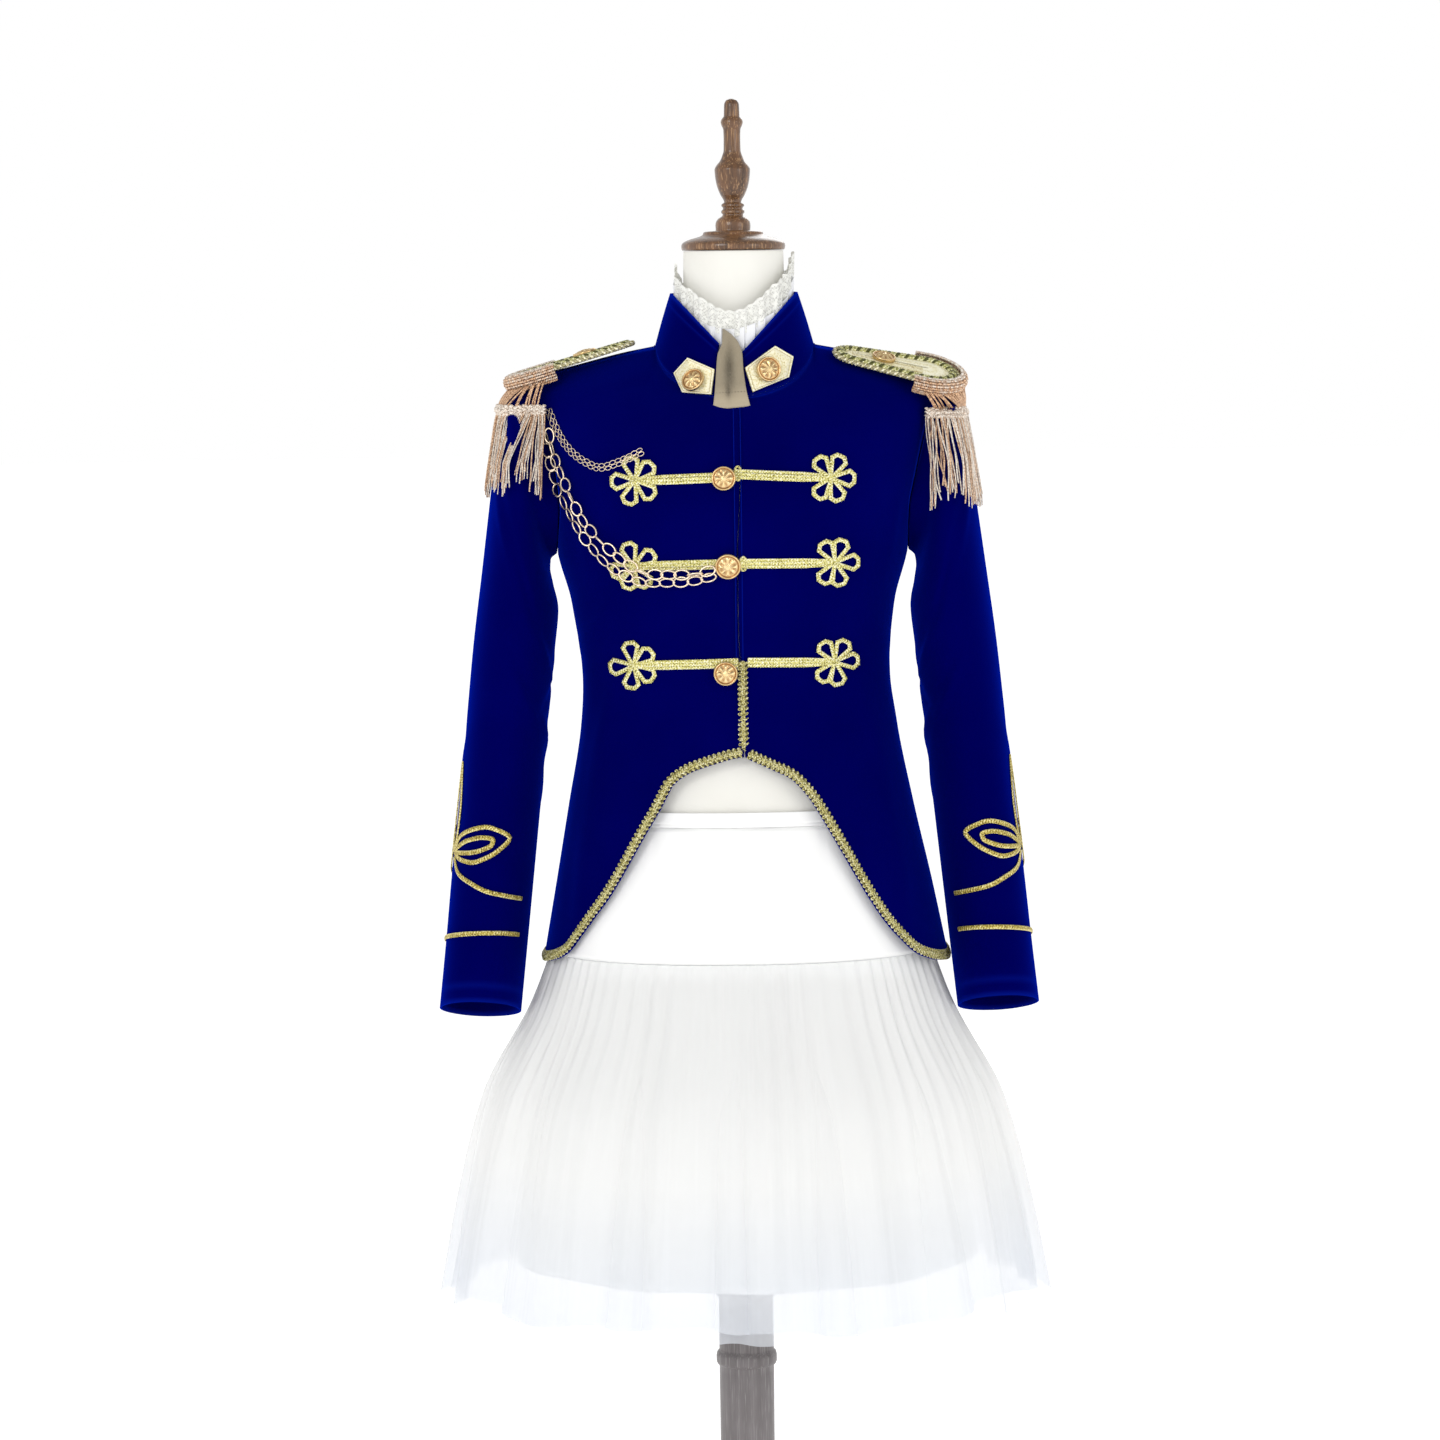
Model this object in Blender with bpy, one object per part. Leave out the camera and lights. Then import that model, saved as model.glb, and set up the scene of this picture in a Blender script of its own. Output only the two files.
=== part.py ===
import math
from collections import namedtuple

import bpy
import numpy as np
from mathutils import Vector
from mathutils.bvhtree import BVHTree
from mathutils.geometry import delaunay_2d_cdt

# A military style dress suit, a velvet jacket and a tulle skirt, on a limbless dress form.
# Metres, +Z up, the wearer's front faces -Y, and the origin is under the middle of the base.

# Driving sizes
CLOTH = 0.002            # jacket cloth with its backing
LIGHT_CLOTH = 0.0015     # satin of the skirt, ruffle and throat tab
TULLE = 0.0010           # gathered tulle, taken as one wall
SEAM = 0.0003            # half of the space left at a seam in a plane
REST = 0.0006            # space under what lies on cloth
TRIM = 0.0016            # height of flat gold braid
ROUNDING = 2.3           # power of the body's section: 2 is an ellipse, more is squarer
CLOSING = 0.004          # the fronts meet this far from the middle
ARMPIT = 1.175
SHOULDER_TIP = 1.344
NECK_POINT = 1.370
NECK_HALF = 0.0745
NECK_FRONT = 1.322
NECK_BACK = 1.350
LOWER_ROWS = 7
UPPER_ROWS = 6
NECK_COLUMNS = 4
PANEL_COLUMNS = 12
SLEEVE_COLUMNS = 2 * UPPER_ROWS

Body = namedtuple("Body", "z half_width front back sway")
BODY = (
    Body(0.760, 0.1980, 0.150, 0.142, 0.005),
    Body(0.795, 0.1915, 0.143, 0.138, 0.004),
    Body(0.862, 0.1786, 0.131, 0.126, 0.003),
    Body(0.938, 0.1634, 0.117, 0.108, 0.001),
    Body(1.014, 0.1496, 0.102, 0.090, 0.000),
    Body(1.060, 0.1455, 0.096, 0.082, -0.002),
    Body(1.128, 0.1525, 0.110, 0.090, -0.004),
    Body(1.175, 0.1650, 0.122, 0.098, -0.004),
    Body(1.220, 0.1720, 0.126, 0.102, -0.002),
    Body(1.270, 0.1790, 0.116, 0.102, 0.000),
    Body(1.310, 0.1880, 0.090, 0.094, 0.000),
    Body(1.344, 0.1980, 0.045, 0.068, 0.000),
    Body(1.370, 0.0745, 0.002, 0.004, 0.000),
)

Armhole = namedtuple("Armhole", "z x")
ARMHOLE = (
    Armhole(1.175, 0.1650),
    Armhole(1.190, 0.1640),
    Armhole(1.215, 0.1630),
    Armhole(1.250, 0.1680),
    Armhole(1.290, 0.1775),
    Armhole(1.320, 0.1875),
    Armhole(1.344, 0.1980),
)

# Height of the cut-away hem by the angle round from the middle of the front, in degrees
Hem = namedtuple("Hem", "angle left right")
FRONT_HEM = (
    Hem(0, 0.9900, 0.9905),
    Hem(8, 0.9825, 0.9785),
    Hem(14, 0.9765, 0.9700),
    Hem(20, 0.9655, 0.9510),
    Hem(24, 0.9440, 0.9310),
    Hem(30, 0.9160, 0.8970),
    Hem(36, 0.8870, 0.8635),
    Hem(42, 0.8605, 0.8360),
    Hem(48, 0.8400, 0.8175),
    Hem(54, 0.8210, 0.8040),
    Hem(60, 0.8055, 0.7975),
    Hem(68, 0.7975, 0.7925),
    Hem(80, 0.7920, 0.7890),
    Hem(90, 0.7900, 0.7880),
)

# Each ring of the right sleeve by the points at its inner and outer side
Ring = namedtuple("Ring", "in_x in_z out_x out_z y half_depth tilt")
SLEEVE = (
    Ring(0.1720, 1.1700, 0.2110, 1.3330, 0.000, 0.0600, 0.00),
    Ring(0.1730, 1.1600, 0.2195, 1.2960, 0.000, 0.0655, 0.00),
    Ring(0.1705, 1.1450, 0.2280, 1.2350, -0.001, 0.0675, 0.00),
    Ring(0.1665, 1.1220, 0.2380, 1.1600, -0.003, 0.0660, 0.00),
    Ring(0.1715, 1.0750, 0.2470, 1.0920, -0.006, 0.0620, 0.00),
    Ring(0.1775, 1.0150, 0.2545, 1.0200, -0.010, 0.0585, 0.05),
    Ring(0.1850, 0.9450, 0.2620, 0.9480, -0.016, 0.0550, 0.10),
    Ring(0.1925, 0.8750, 0.2700, 0.8780, -0.022, 0.0525, 0.18),
    Ring(0.2000, 0.8050, 0.2770, 0.8080, -0.028, 0.0500, 0.25),
    Ring(0.2065, 0.7450, 0.2835, 0.7480, -0.033, 0.0480, 0.29),
)
SLEEVE_SWAY = -0.0030

Section = namedtuple("Section", "z half_width front back power")
TORSO = (
    Section(0.740, 0.158, 0.115, 0.110, 2.2),
    Section(0.752, 0.166, 0.122, 0.117, 2.2),
    Section(0.850, 0.164, 0.118, 0.112, 2.2),
    Section(0.905, 0.1515, 0.1075, 0.0995, 2.2),
    Section(0.926, 0.1490, 0.1045, 0.0965, 2.2),
    Section(1.000, 0.141, 0.092, 0.079, 2.2),
    Section(1.060, 0.137, 0.086, 0.072, 2.2),
    Section(1.128, 0.143, 0.098, 0.079, 2.2),
    Section(1.190, 0.154, 0.110, 0.086, 2.2),
    Section(1.240, 0.160, 0.110, 0.090, 2.2),
    Section(1.290, 0.168, 0.092, 0.085, 2.1),
    Section(1.325, 0.160, 0.058, 0.060, 1.7),
    Section(1.343, 0.108, 0.050, 0.049, 1.5),
    Section(1.356, 0.068, 0.048, 0.047, 1.8),
    Section(1.372, 0.053, 0.048, 0.048, 2.0),
    Section(1.395, 0.0480, 0.047, 0.047, 2.0),
    Section(1.458, 0.0470, 0.046, 0.046, 2.0),
)
TORSO_COLUMNS = 20

YOKE = (
    Section(0.9140, 0.1535, 0.1100, 0.1015, 2.2),
    Section(0.8750, 0.1640, 0.1215, 0.1130, 2.2),
    Section(0.8400, 0.1745, 0.1285, 0.1225, 2.2),
    Section(0.8000, 0.1810, 0.1360, 0.1285, 2.2),
)
WAISTBAND = (
    Section(0.9260, 0.1520, 0.1080, 0.0995, 2.2),
    Section(0.9145, 0.1540, 0.1105, 0.1020, 2.2),
)
LINING = (
    Section(0.8060, 0.1775, 0.1325, 0.1252, 2.2),
    Section(0.7850, 0.1794, 0.1364, 0.1294, 2.2),
    Section(0.7200, 0.1930, 0.1550, 0.1500, 2.1),
    Section(0.6100, 0.2120, 0.1850, 0.1800, 2.0),
    Section(0.5050, 0.2220, 0.2050, 0.2000, 2.0),
)
SKIRT_COLUMNS = 24

# The gathered tulle: gathers at the seam run into broad folds at the hem
Tulle = namedtuple("Tulle", "z half_width front back power gather fold")
TULLE_ROWS = (
    Tulle(0.7993, 0.1800, 0.1360, 0.1285, 2.20, 0.0010, 0.0000),
    Tulle(0.7480, 0.1985, 0.1680, 0.1640, 2.12, 0.0020, 0.0008),
    Tulle(0.6600, 0.2425, 0.2200, 0.2160, 2.05, 0.0022, 0.0045),
    Tulle(0.5650, 0.2650, 0.2480, 0.2450, 2.00, 0.0020, 0.0075),
    Tulle(0.4700, 0.2810, 0.2680, 0.2650, 2.00, 0.0018, 0.0100),
)
GATHERS = 72
FOLDS = 15

# Turned wood: radius and height of each step
Turn = namedtuple("Turn", "radius z")
FINIAL = (
    Turn(0.0020, 1.6000),
    Turn(0.0070, 1.5950),
    Turn(0.0076, 1.5840),
    Turn(0.0103, 1.5780),
    Turn(0.0081, 1.5715),
    Turn(0.0080, 1.5520),
    Turn(0.0114, 1.5420),
    Turn(0.0166, 1.5345),
    Turn(0.0152, 1.5210),
    Turn(0.0115, 1.5115),
    Turn(0.0076, 1.5040),
    Turn(0.0104, 1.4960),
    Turn(0.0104, 1.4885),
    Turn(0.0160, 1.4830),
    Turn(0.0162, 1.4770),
    Turn(0.0330, 1.4730),
    Turn(0.0460, 1.4665),
    Turn(0.0486, 1.4630),
    Turn(0.0480, 1.4586),
)
POLE = (
    Turn(0.0260, 0.7394),
    Turn(0.0260, 0.4700),
    Turn(0.0285, 0.4655),
    Turn(0.0260, 0.4610),
    Turn(0.0262, 0.4090),
    Turn(0.0290, 0.4050),
    Turn(0.0290, 0.3990),
    Turn(0.0262, 0.3950),
    Turn(0.0255, 0.0650),
    Turn(0.0330, 0.0550),
    Turn(0.0330, 0.0453),
)
BASE = (
    Turn(0.0450, 0.0450),
    Turn(0.0560, 0.0400),
    Turn(0.1500, 0.0270),
    Turn(0.1720, 0.0220),
    Turn(0.1750, 0.0160),
    Turn(0.1750, 0.0000),
)

# Frogs: the middle of each knot and where its bar ends
Frog = namedtuple("Frog", "name knot_x knot_z end_x end_z")
FROGS = (
    Frog("frog_left_top", -0.0931, 1.2471, -0.0040, 1.2500),
    Frog("frog_right_top", 0.0867, 1.2477, -0.0015, 1.2525),
    Frog("frog_left_middle", -0.0951, 1.1686, -0.0040, 1.1705),
    Frog("frog_right_middle", 0.0896, 1.1695, 0.0010, 1.1705),
    Frog("frog_left_bottom", -0.0976, 1.0748, -0.0040, 1.0770),
    Frog("frog_right_bottom", 0.0890, 1.0758, 0.0088, 1.0775),
)
PETAL_REACH = 0.0220
BAR_HALF = 0.0058
FROG_REST = 0.0009

Button = namedtuple("Button", "name x z radius lift")
FRONT_BUTTONS = (
    Button("button_top", -0.0118, 1.2481, 0.0112, 0.0030),
    Button("button_middle", -0.0088, 1.1690, 0.0118, 0.0030),
    Button("button_bottom", -0.0119, 1.0672, 0.0112, 0.0046),
)
COLLAR_BUTTONS = (
    Button("collar_button_left", -0.0370, 1.3365, 0.0108, 0.0034),
    Button("collar_button_right", 0.0305, 1.3475, 0.0116, 0.0005),
)

# Routes of the chains over the viewer's left front, from the epaulette
Route = namedtuple("Route", "x z")
FINE_CHAIN = (
    Route(-0.1686, 1.3050), Route(-0.1640, 1.2910), Route(-0.1581, 1.2805), Route(-0.1438, 1.2670),
    Route(-0.1249, 1.2590), Route(-0.1070, 1.2640), Route(-0.0854, 1.2740),
)
UPPER_CHAIN = (
    Route(-0.1747, 1.2940), Route(-0.1701, 1.2715), Route(-0.1586, 1.2421), Route(-0.1435, 1.2101),
    Route(-0.1229, 1.1885), Route(-0.1025, 1.1722), Route(-0.0784, 1.1624), Route(-0.0441, 1.1618),
    Route(-0.0215, 1.1665),
)
LOWER_CHAIN = (
    Route(-0.1845, 1.2920), Route(-0.1758, 1.2566), Route(-0.1647, 1.2314), Route(-0.1466, 1.1996),
    Route(-0.1306, 1.1797), Route(-0.1064, 1.1617), Route(-0.0804, 1.1539), Route(-0.0460, 1.1552),
    Route(-0.0205, 1.1600),
)
LINKS = 16
LINK_HALF = 0.0062
WIRE = 0.0021

Shoulder = namedtuple("Shoulder", "name side inner_x inner_z outer_x outer_z y tilt")
SHOULDERS = (
    Shoulder("left", -1, 0.0935, 1.3690, 0.2160, 1.3300, 0.000, 2.0),
    Shoulder("right", 1, 0.0918, 1.3640, 0.2141, 1.3310, -0.020, 19.0),
)
BOARD_INNER = 0.0215
BOARD_OUTER = 0.0330
FRINGE_LOCKS = 22
FRINGE_SPREAD = 82
FRINGE_TOP = 1.3080
FRINGE_BOTTOM = 1.3000
FRINGE_END = 1.2260

COLOURS = {
    "velvet": ((0.004, 0.004, 0.09, 1), 0.75, 0.0),
    "form_cloth": ((0.86, 0.84, 0.78, 1), 0.85, 0.0),
    "wood": ((0.13, 0.06, 0.03, 1), 0.35, 0.0),
    "pole_wood": ((0.22, 0.19, 0.18, 1), 0.45, 0.0),
    "satin": ((0.86, 0.86, 0.85, 1), 0.45, 0.0),
    "tulle": ((0.90, 0.90, 0.91, 1), 0.80, 0.0),
    "gold_braid": ((0.55, 0.47, 0.16, 1), 0.40, 0.7),
    "pale_gold": ((0.72, 0.66, 0.40, 1), 0.35, 0.6),
    "copper_bullion": ((0.62, 0.33, 0.18, 1), 0.35, 0.6),
    "button_gold": ((0.85, 0.55, 0.30, 1), 0.25, 1.0),
    "chain_gold": ((0.62, 0.52, 0.38, 1), 0.25, 1.0),
    "taupe": ((0.25, 0.22, 0.17, 1), 0.80, 0.0),
}


# Helpers for curves and tables
def smooth_curve(xs, ys, x):
    """Cubic through the points that never overshoots them."""
    xs = np.asarray(xs, float)
    ys = np.asarray(ys, float)
    step = np.diff(xs)
    slope = np.diff(ys) / step
    tangent = np.zeros_like(ys)
    tangent[0] = slope[0]
    tangent[-1] = slope[-1]
    same = slope[:-1] * slope[1:] > 0
    total = np.where(same, slope[:-1] + slope[1:], 1.0)
    tangent[1:-1] = np.where(same, 2 * slope[:-1] * slope[1:] / total, 0.0)
    x = np.clip(x, xs[0], xs[-1])
    i = np.clip(np.searchsorted(xs, x, side="right") - 1, 0, len(xs) - 2)
    t = (x - xs[i]) / step[i]
    start = (1 + 2 * t) * (1 - t) ** 2 * ys[i] + t * (1 - t) ** 2 * step[i] * tangent[i]
    end = t * t * (3 - 2 * t) * ys[i + 1] + t * t * (t - 1) * step[i] * tangent[i + 1]
    return start + end


def read(rows, key, column, at):
    """Value of a table's column at a value of its key column."""
    rows = sorted(rows, key=lambda row: getattr(row, key))
    return smooth_curve([getattr(r, key) for r in rows], [getattr(r, column) for r in rows], at)


def body(column, z):
    return read(BODY, "z", column, z)


def body_y(x, z, front):
    """Depth of the jacket's surface at x from its own middle line, at height z."""
    share = np.clip(np.abs(x) / body("half_width", z), 0, 1)
    depth = -body("front", z) if front else body("back", z)
    return depth * (1 - share ** ROUNDING) ** (1 / ROUNDING)


def ridge_height(x):
    """Height of the shoulder line at x."""
    z = np.linspace(NECK_POINT, SHOULDER_TIP, 60)
    return np.interp(x, body("half_width", z), z)


def along(points, count):
    """Points spaced evenly along a smooth curve through the given ones."""
    points = np.asarray(points, float)
    share = np.linspace(0, 1, len(points))
    fine = np.linspace(0, 1, 400)
    curve = np.stack([smooth_curve(share, points[:, i], fine) for i in range(points.shape[1])], axis=1)
    run = np.concatenate([[0], np.cumsum(np.linalg.norm(np.diff(curve, axis=0), axis=1))])
    at = np.linspace(0, run[-1], count)
    return np.stack([np.interp(at, run, curve[:, i]) for i in range(points.shape[1])], axis=1)


# Helpers for meshes
def material(name):
    found = bpy.data.materials.get(name)
    if found:
        return found
    colour, roughness, metallic = COLOURS[name]
    made = bpy.data.materials.new(name)
    made.use_nodes = True
    shader = made.node_tree.nodes["Principled BSDF"]
    shader.inputs["Base Color"].default_value = colour
    shader.inputs["Roughness"].default_value = roughness
    shader.inputs["Metallic"].default_value = metallic
    made.diffuse_color = colour
    return made


def volume(points, faces):
    triangles = points[np.asarray(faces)]
    return np.einsum("ij,ij->i", triangles[:, 0], np.cross(triangles[:, 1], triangles[:, 2])).sum() / 6


def add(name, points, faces, finish, smooth=False):
    """One object from points and triangles, turned so that its faces point out."""
    points = np.asarray(points, float)
    if volume(points - points.mean(axis=0), faces) < 0:
        faces = [tuple(reversed(face)) for face in faces]
    mesh = bpy.data.meshes.new(name)
    mesh.from_pydata([tuple(p) for p in points], [], faces)
    mesh.materials.append(material(finish))
    if smooth:
        mesh.shade_smooth()
        mesh.set_sharp_from_angle(angle=math.radians(50))
    made = bpy.data.objects.new(name, mesh)
    bpy.context.collection.objects.link(made)
    return made


def quads(first, second):
    """Triangles that join two rows of point numbers."""
    faces = []
    for a, b, c, d in zip(first[:-1], first[1:], second[1:], second[:-1]):
        faces.append((a, b, c))
        faces.append((a, c, d))
    return faces


def wall(name, outer, inner, finish, closed):
    """Closed wall between two grids of rows; closed joins the last column to the first."""
    rows, columns = outer.shape[:2]
    out_ids = np.arange(rows * columns).reshape(rows, columns)
    in_ids = out_ids + rows * columns
    if closed:
        out_ids = np.concatenate([out_ids, out_ids[:, :1]], axis=1)
        in_ids = np.concatenate([in_ids, in_ids[:, :1]], axis=1)
    faces = []
    for r in range(rows - 1):
        faces += quads(out_ids[r].tolist(), out_ids[r + 1].tolist())
        faces += quads(in_ids[r + 1].tolist(), in_ids[r].tolist())
    faces += quads(in_ids[0].tolist(), out_ids[0].tolist())
    faces += quads(out_ids[-1].tolist(), in_ids[-1].tolist())
    if not closed:
        faces += quads(out_ids[:, 0].tolist(), in_ids[:, 0].tolist())
        faces += quads(in_ids[:, -1].tolist(), out_ids[:, -1].tolist())
    points = np.concatenate([outer.reshape(-1, 3), inner.reshape(-1, 3)])
    return add(name, points, faces, finish, smooth=True)


def grid_normals(grid, closed, centre):
    """Unit normals of a grid, pointing away from the centre points."""
    if closed:
        across = np.roll(grid, -1, axis=1) - np.roll(grid, 1, axis=1)
    else:
        across = np.gradient(grid, axis=1)
    up = np.gradient(grid, axis=0)
    normal = np.cross(across, up)
    normal /= np.maximum(np.linalg.norm(normal, axis=2, keepdims=True), 1e-12)
    away = np.einsum("ijk,ijk->", normal, grid - centre)
    return normal if away > 0 else -normal


def lathe(name, profile, sides, finish):
    """Solid turned about the Z axis through the profile's steps."""
    angles = np.arange(sides) * 2 * math.pi / sides
    points = []
    for step in profile:
        for angle in angles:
            points.append((step.radius * math.cos(angle), step.radius * math.sin(angle), step.z))
    ids = np.arange(len(profile) * sides).reshape(len(profile), sides)
    looped = np.concatenate([ids, ids[:, :1]], axis=1)
    faces = []
    for r in range(len(profile) - 1):
        faces += quads(looped[r + 1].tolist(), looped[r].tolist())
    for row, turned in ((ids[0], False), (ids[-1], True)):
        for k in range(1, sides - 1):
            face = (int(row[0]), int(row[k]), int(row[k + 1]))
            faces.append(face[::-1] if turned else face)
    return add(name, points, faces, finish, smooth=True)


def ring_wall(name, sections, columns, thickness, finish):
    """Closed wall through level rings."""
    angles = np.arange(columns) * 2 * math.pi / columns
    outer = []
    for s in sections:
        power = 2 / s.power
        x = s.half_width * np.sign(np.sin(angles)) * np.abs(np.sin(angles)) ** power
        depth = np.where(np.cos(angles) > 0, s.front, s.back)
        y = -depth * np.sign(np.cos(angles)) * np.abs(np.cos(angles)) ** power
        outer.append(np.stack([x, y, np.full(columns, s.z)], axis=1))
    outer = np.array(outer)
    centre = np.array([0.0, 0.0, outer[..., 2].mean()])
    normal = grid_normals(outer, True, centre)
    normal[..., 2] = 0
    normal /= np.linalg.norm(normal, axis=2, keepdims=True)
    return wall(name, outer, outer - normal * thickness, finish, True)


class Surface:
    """The outer skin of some pieces, for laying others on them."""

    def __init__(self, *objects):
        self.trees = []
        for piece in objects:
            mesh = piece.data
            points = [v.co.copy() for v in mesh.vertices]
            self.trees.append(BVHTree.FromPolygons(points, [tuple(p.vertices) for p in mesh.polygons]))

    def hit(self, origin, direction):
        best = None
        for tree in self.trees:
            place, normal, _, distance = tree.ray_cast(Vector(origin), Vector(direction))
            if place and (best is None or distance < best[2]):
                best = (np.array(place), np.array(normal), distance)
        return best

    def skin(self, origin, direction, aside):
        """First hit of a ray, also where a seam's space lies right behind the point."""
        best = None
        for shift in (0.0, -0.0012, 0.0012):
            found = self.hit(origin + aside * shift, direction)
            if found and (best is None or found[2] < best[2] - 0.005):
                best = (found[0] - aside * shift, found[1], found[2])
        if best is None:
            raise ValueError("nothing lies behind the point %.4f %.4f %.4f" % tuple(origin))
        return best

    def front(self, x, z, lift):
        """Point over the front at x and z."""
        towards = np.array([0, 1.0, 0])
        place, normal, _ = self.skin(np.array([x, -1.0, z]), towards, np.array([1.0, 0, 0]))
        way = normal - towards
        return place + way * (lift / max(float(way @ normal), 0.5))

    def inwards(self, point, axis, lift):
        """Point over the skin, looking level from outside towards an upright axis."""
        away = np.array([point[0] - axis[0], point[1] - axis[1], 0.0])
        away /= np.linalg.norm(away)
        start = np.array([axis[0], axis[1], point[2]]) + away * 0.6
        place, normal, _ = self.skin(start, -away, np.array([-away[1], away[0], 0]))
        return place + normal * lift

    def outside(self, point, axis, lift):
        """The point, moved out level from an upright axis where the skin is in its way."""
        away = np.array([point[0] - axis[0], point[1] - axis[1], 0.0])
        reach = np.linalg.norm(away)
        away /= reach
        found = self.hit(point + away * 0.3, -away)
        if found is None:
            return point
        over = found[0] + found[1] * lift
        return over if np.linalg.norm(over[:2] - axis) > reach else point


def strip(name, left, right, lift, height, finish, closed=False):
    """Flat braid between two edges; left and right give points for a lift."""
    section = np.stack([left(lift), right(lift), right(lift + height), left(lift + height)], axis=1)
    count = len(section)
    ids = np.arange(count * 4).reshape(count, 4)
    looped = np.concatenate([ids, ids[:, :1]], axis=1)
    faces = []
    for r in range(count - 1):
        faces += quads(looped[r].tolist(), looped[r + 1].tolist())
    if closed:
        faces += quads(looped[-1].tolist(), looped[0].tolist())
    else:
        first, last = ids[0].tolist(), ids[-1].tolist()
        faces += [(first[0], first[2], first[1]), (first[0], first[3], first[2])]
        faces += [(last[0], last[1], last[2]), (last[0], last[2], last[3])]
    return add(name, section.reshape(-1, 3), faces, finish)


def inside(polygon, x, y):
    """True where the point lies in the polygon."""
    hit = False
    for (x0, y0), (x1, y1) in zip(polygon, polygon[1:] + polygon[:1]):
        if (y0 > y) != (y1 > y) and x < (x1 - x0) * (y - y0) / (y1 - y0) + x0:
            hit = not hit
    return hit


def refined(outline, step):
    """An outline with its edges cut into even steps, and points spread over its inside."""
    edge = []
    for start, end in zip(outline, outline[1:] + outline[:1]):
        count = max(1, math.ceil(math.dist(start, end) / step))
        for k in range(count):
            edge.append(tuple(start[i] + (end[i] - start[i]) * k / count for i in (0, 1)))
    low = [min(p[i] for p in outline) for i in (0, 1)]
    high = [max(p[i] for p in outline) for i in (0, 1)]
    spread = []
    for x in np.arange(low[0] + step / 2, high[0], step):
        for y in np.arange(low[1] + step / 2, high[1], step):
            if inside(outline, x, y) and min(math.dist((x, y), p) for p in edge) > step * 0.45:
                spread.append((float(x), float(y)))
    return edge, spread


def plate(name, solids, holes, lay, height, finish, creases=(), spread=(), rest=REST):
    """Flat piece over the union of some outlines less some holes, laid on a surface by lay."""
    corners = []
    loops = []
    for outline in solids + holes:
        loops.append(list(range(len(corners), len(corners) + len(outline))))
        corners += [Vector(p) for p in outline]
    edges = []
    for start, end in creases:
        edges.append((len(corners), len(corners) + 1))
        corners += [Vector(start), Vector(end)]
    corners += [Vector(p) for p in spread]
    flat, _, cells, _, _, _ = delaunay_2d_cdt(corners, edges, loops, 0, 1e-6)
    kept = []
    for cell in cells:
        x = sum(flat[i][0] for i in cell) / 3
        y = sum(flat[i][1] for i in cell) / 3
        in_solid = any(inside(outline, x, y) for outline in solids)
        in_hole = any(inside(outline, x, y) for outline in holes)
        if in_solid and not in_hole:
            kept.append(tuple(cell))
    used = sorted({i for cell in kept for i in cell})
    number = {old: new for new, old in enumerate(used)}
    cells = [tuple(number[i] for i in cell) for cell in kept]
    low = [lay(flat[i][0], flat[i][1], rest) for i in used]
    high = [lay(flat[i][0], flat[i][1], rest + height) for i in used]
    count = len(used)
    faces = [tuple(i + count for i in cell) for cell in cells]
    faces += [cell[::-1] for cell in cells]
    sides = {(a, b) for cell in cells for a, b in zip(cell, cell[1:] + cell[:1])}
    for a, b in sorted(sides):
        if (b, a) not in sides:
            faces.append((a, b, b + count))
            faces.append((a, b + count, a + count))
    return add(name, low + high, faces, finish)


# The jacket's panels
def top_line(columns):
    """Where each column of a half panel ends: on the neckline, then on the shoulder seam."""
    turn = np.linspace(0, math.pi / 2, NECK_COLUMNS + 1)
    neck_x = NECK_HALF * np.sin(turn)
    reach = np.linspace(NECK_HALF, body("half_width", SHOULDER_TIP), columns - NECK_COLUMNS + 1)[1:]
    return turn, neck_x, reach


def half_panel(side, front, hem):
    """Grid of rows from hem to shoulder and columns from the middle to the side."""
    angles = np.linspace(0, math.pi / 2, PANEL_COLUMNS + 1)
    share = np.sin(angles) ** (2 / ROUNDING)
    low = np.linspace(0, 1, LOWER_ROWS + 1)[:, None]
    z_low = hem(np.degrees(angles)) * (1 - low) + ARMPIT * low
    x_low = body("half_width", z_low) * share
    turn, neck_x, reach = top_line(PANEL_COLUMNS)
    neck_z = NECK_FRONT if front else NECK_BACK
    top_x = np.concatenate([neck_x, reach])
    top_z = np.concatenate([neck_z + (NECK_POINT - neck_z) * (1 - np.cos(turn)), ridge_height(reach)])
    up = np.linspace(0, 1, UPPER_ROWS + 1)[1:, None]
    z_up = ARMPIT + (top_z - ARMPIT) * up
    x_up = x_low[-1] + (top_x - x_low[-1]) * up
    arm_x = read(ARMHOLE, "z", "x", z_up[:, -1:])
    x_up = x_up + (arm_x - x_up[:, -1:]) * share ** 6
    x = np.concatenate([x_low, x_up])
    z = np.concatenate([z_low, z_up])
    if front:
        x[:, 0] = side * CLOSING + 0.0004
    y = body_y(x, z, front)
    y[-1, NECK_COLUMNS:] = 0.0
    return np.stack([side * x + body("sway", z), y, z], axis=2)


def panel(name, grid, front):
    """Panel wall from its outer grid; seams in the side plane keep their walls in line."""
    centre = np.stack([np.zeros(grid.shape[:2]), np.zeros(grid.shape[:2]), grid[..., 2]], axis=2)
    normal = grid_normals(grid, False, centre)
    seam = np.abs(grid[..., 1]) < 1e-5
    normal[seam, 1] = 0
    normal /= np.linalg.norm(normal, axis=2, keepdims=True)
    shift = np.array([0, -SEAM if front else SEAM, 0])
    return wall(name, grid + shift, grid - normal * CLOTH + shift, "velvet", False)


def front_hem(side):
    column = "left" if side < 0 else "right"
    return lambda angle: read(FRONT_HEM, "angle", column, angle)


def back_hem(angle):
    """The level back hem, which meets the fronts at the side seams."""
    return 0.789 + 0.004 * np.cos(np.radians(angle))


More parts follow.
